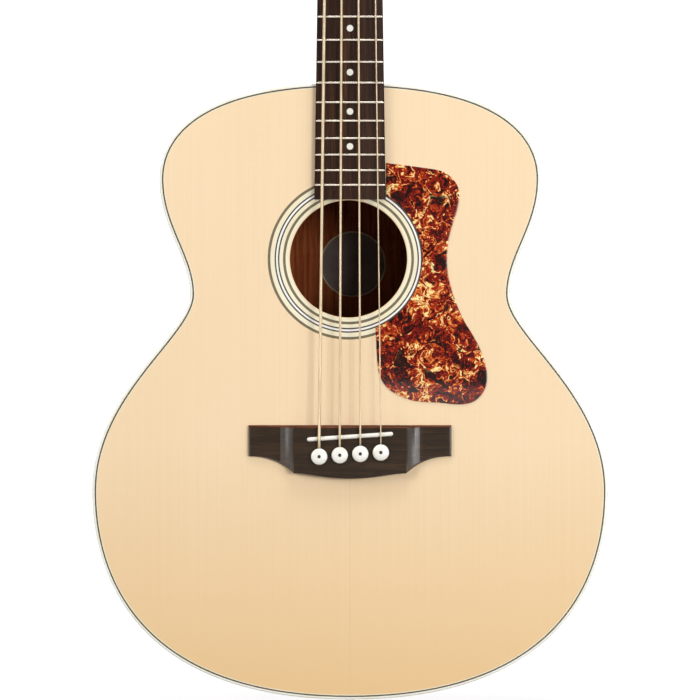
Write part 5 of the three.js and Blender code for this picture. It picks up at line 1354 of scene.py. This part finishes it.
def makeFloor():  # a disc of rings, whose paper glows more towards the edge, where it meets the surround
    radii = studio["floorRadius"] * np.linspace(0.001, 1, 24)
    flat = lathe(np.column_stack([radii, 0 * radii]), 96)[..., [0, 2, 1]] + [0, 0, cadBox[0][2]]
    piece = meshObject("floor", flat, gridFaces(len(radii), 96) + [list(range(96))])
    paper = Finish("floor_paper", roughness=0.9, specular=0.0)
    flat = {0: paper.stretched((1, 1, 0))}
    away = paper.add("ShaderNodeVectorMath", flat, operation="LENGTH").outputs["Value"]
    glow = paper.span(away, studio["glowFrom"], studio["glowTo"], studio["glow"], 1.0)
    paper.settle({"Emission Color": (1, 1, 1, 1), "Emission Strength": glow})
    grain = paper.noise((3, 3, 3), detail=2)
    paper.finish(paper.ramp(grain, [(0.3, (170, 170, 171)), (0.7, (174, 174, 174))]))
    piece.data.materials.append(finishes["floor_paper"])
    piece.visible_diffuse = False


def makeSurround():  # a white sphere round everything, which only the camera sees, so it lights nothing
    angle = np.linspace(-math.pi / 2 + 0.001, math.pi / 2 - 0.001, 33)
    profile = studio["domeRadius"] * np.column_stack([np.cos(angle), np.sin(angle)])
    piece = loft("white_surround", lathe(profile, 64))
    paint = Finish("surround_white", roughness=1.0, specular=0.0)
    paint.settle({"Emission Color": (1, 1, 1, 1), "Emission Strength": 1.0})
    cloud = paint.noise((0.1, 0.1, 0.1), detail=1)
    paint.finish(paint.ramp(cloud, [(0.3, (250, 250, 250)), (0.7, (255, 255, 255))]))
    piece.data.materials.append(finishes["surround_white"])
    for ray in ("diffuse", "glossy", "transmission", "volume_scatter", "shadow"):
        setattr(piece, f"visible_{ray}", False)


def makeLights():  # area lights turned to what they face, and an even white sky
    for name, (place, aim, size, power) in lights.items():
        data = bpy.data.lights.new(name, "AREA")
        data.shape = "RECTANGLE"
        data.size, data.size_y = size
        data.energy = power
        light = addObject(name, data)
        light.location = place
        light.rotation_euler = (Vector(aim) - Vector(place)).to_track_quat("-Z", "Y").to_euler()
    world = bpy.data.worlds.new("studio")
    bpy.context.scene.world = world
    world.use_nodes = True
    world.node_tree.nodes["Background"].inputs["Color"].default_value = (1, 1, 1, 1)
    world.node_tree.nodes["Background"].inputs["Strength"].default_value = studio["sky"]


def makeCamera():
    data = bpy.data.cameras.new("camera")
    data.lens = studio["lens"]
    data.clip_end = 100
    camera = addObject("camera", data)
    camera.location = studio["cameraPlace"]
    camera.rotation_euler = (math.radians(90), 0, 0)
    bpy.context.scene.camera = camera
    bpy.context.scene.view_settings.view_transform = "Standard"


# Build

stages = {
    "materials": [makeFinishes],
    "body": [makeSoundboard, makeRosette, makeEdging, makeBack, makeSides, makeLabel],
    "pickguard": [makePickguard],
    "bridge": [makeBridge, makeSaddle, makePins],
    "fingerboard": [makeFingerboard, makeFrets, makeDots],
    "neck": [makeNeck, makeHeelCap, makeVeneer, makeRodCover, makeNut],
    "strings": [makeStrings],
    "tuners": [makeTuners],
    "hardware": [makeStrapButtons, finishKeptNodes],
    "studio": [makeFloor, makeSurround, makeLights, makeCamera],
}
for stage, makers in stages.items():
    for make in makers:
        make()
    print("stage:", stage)
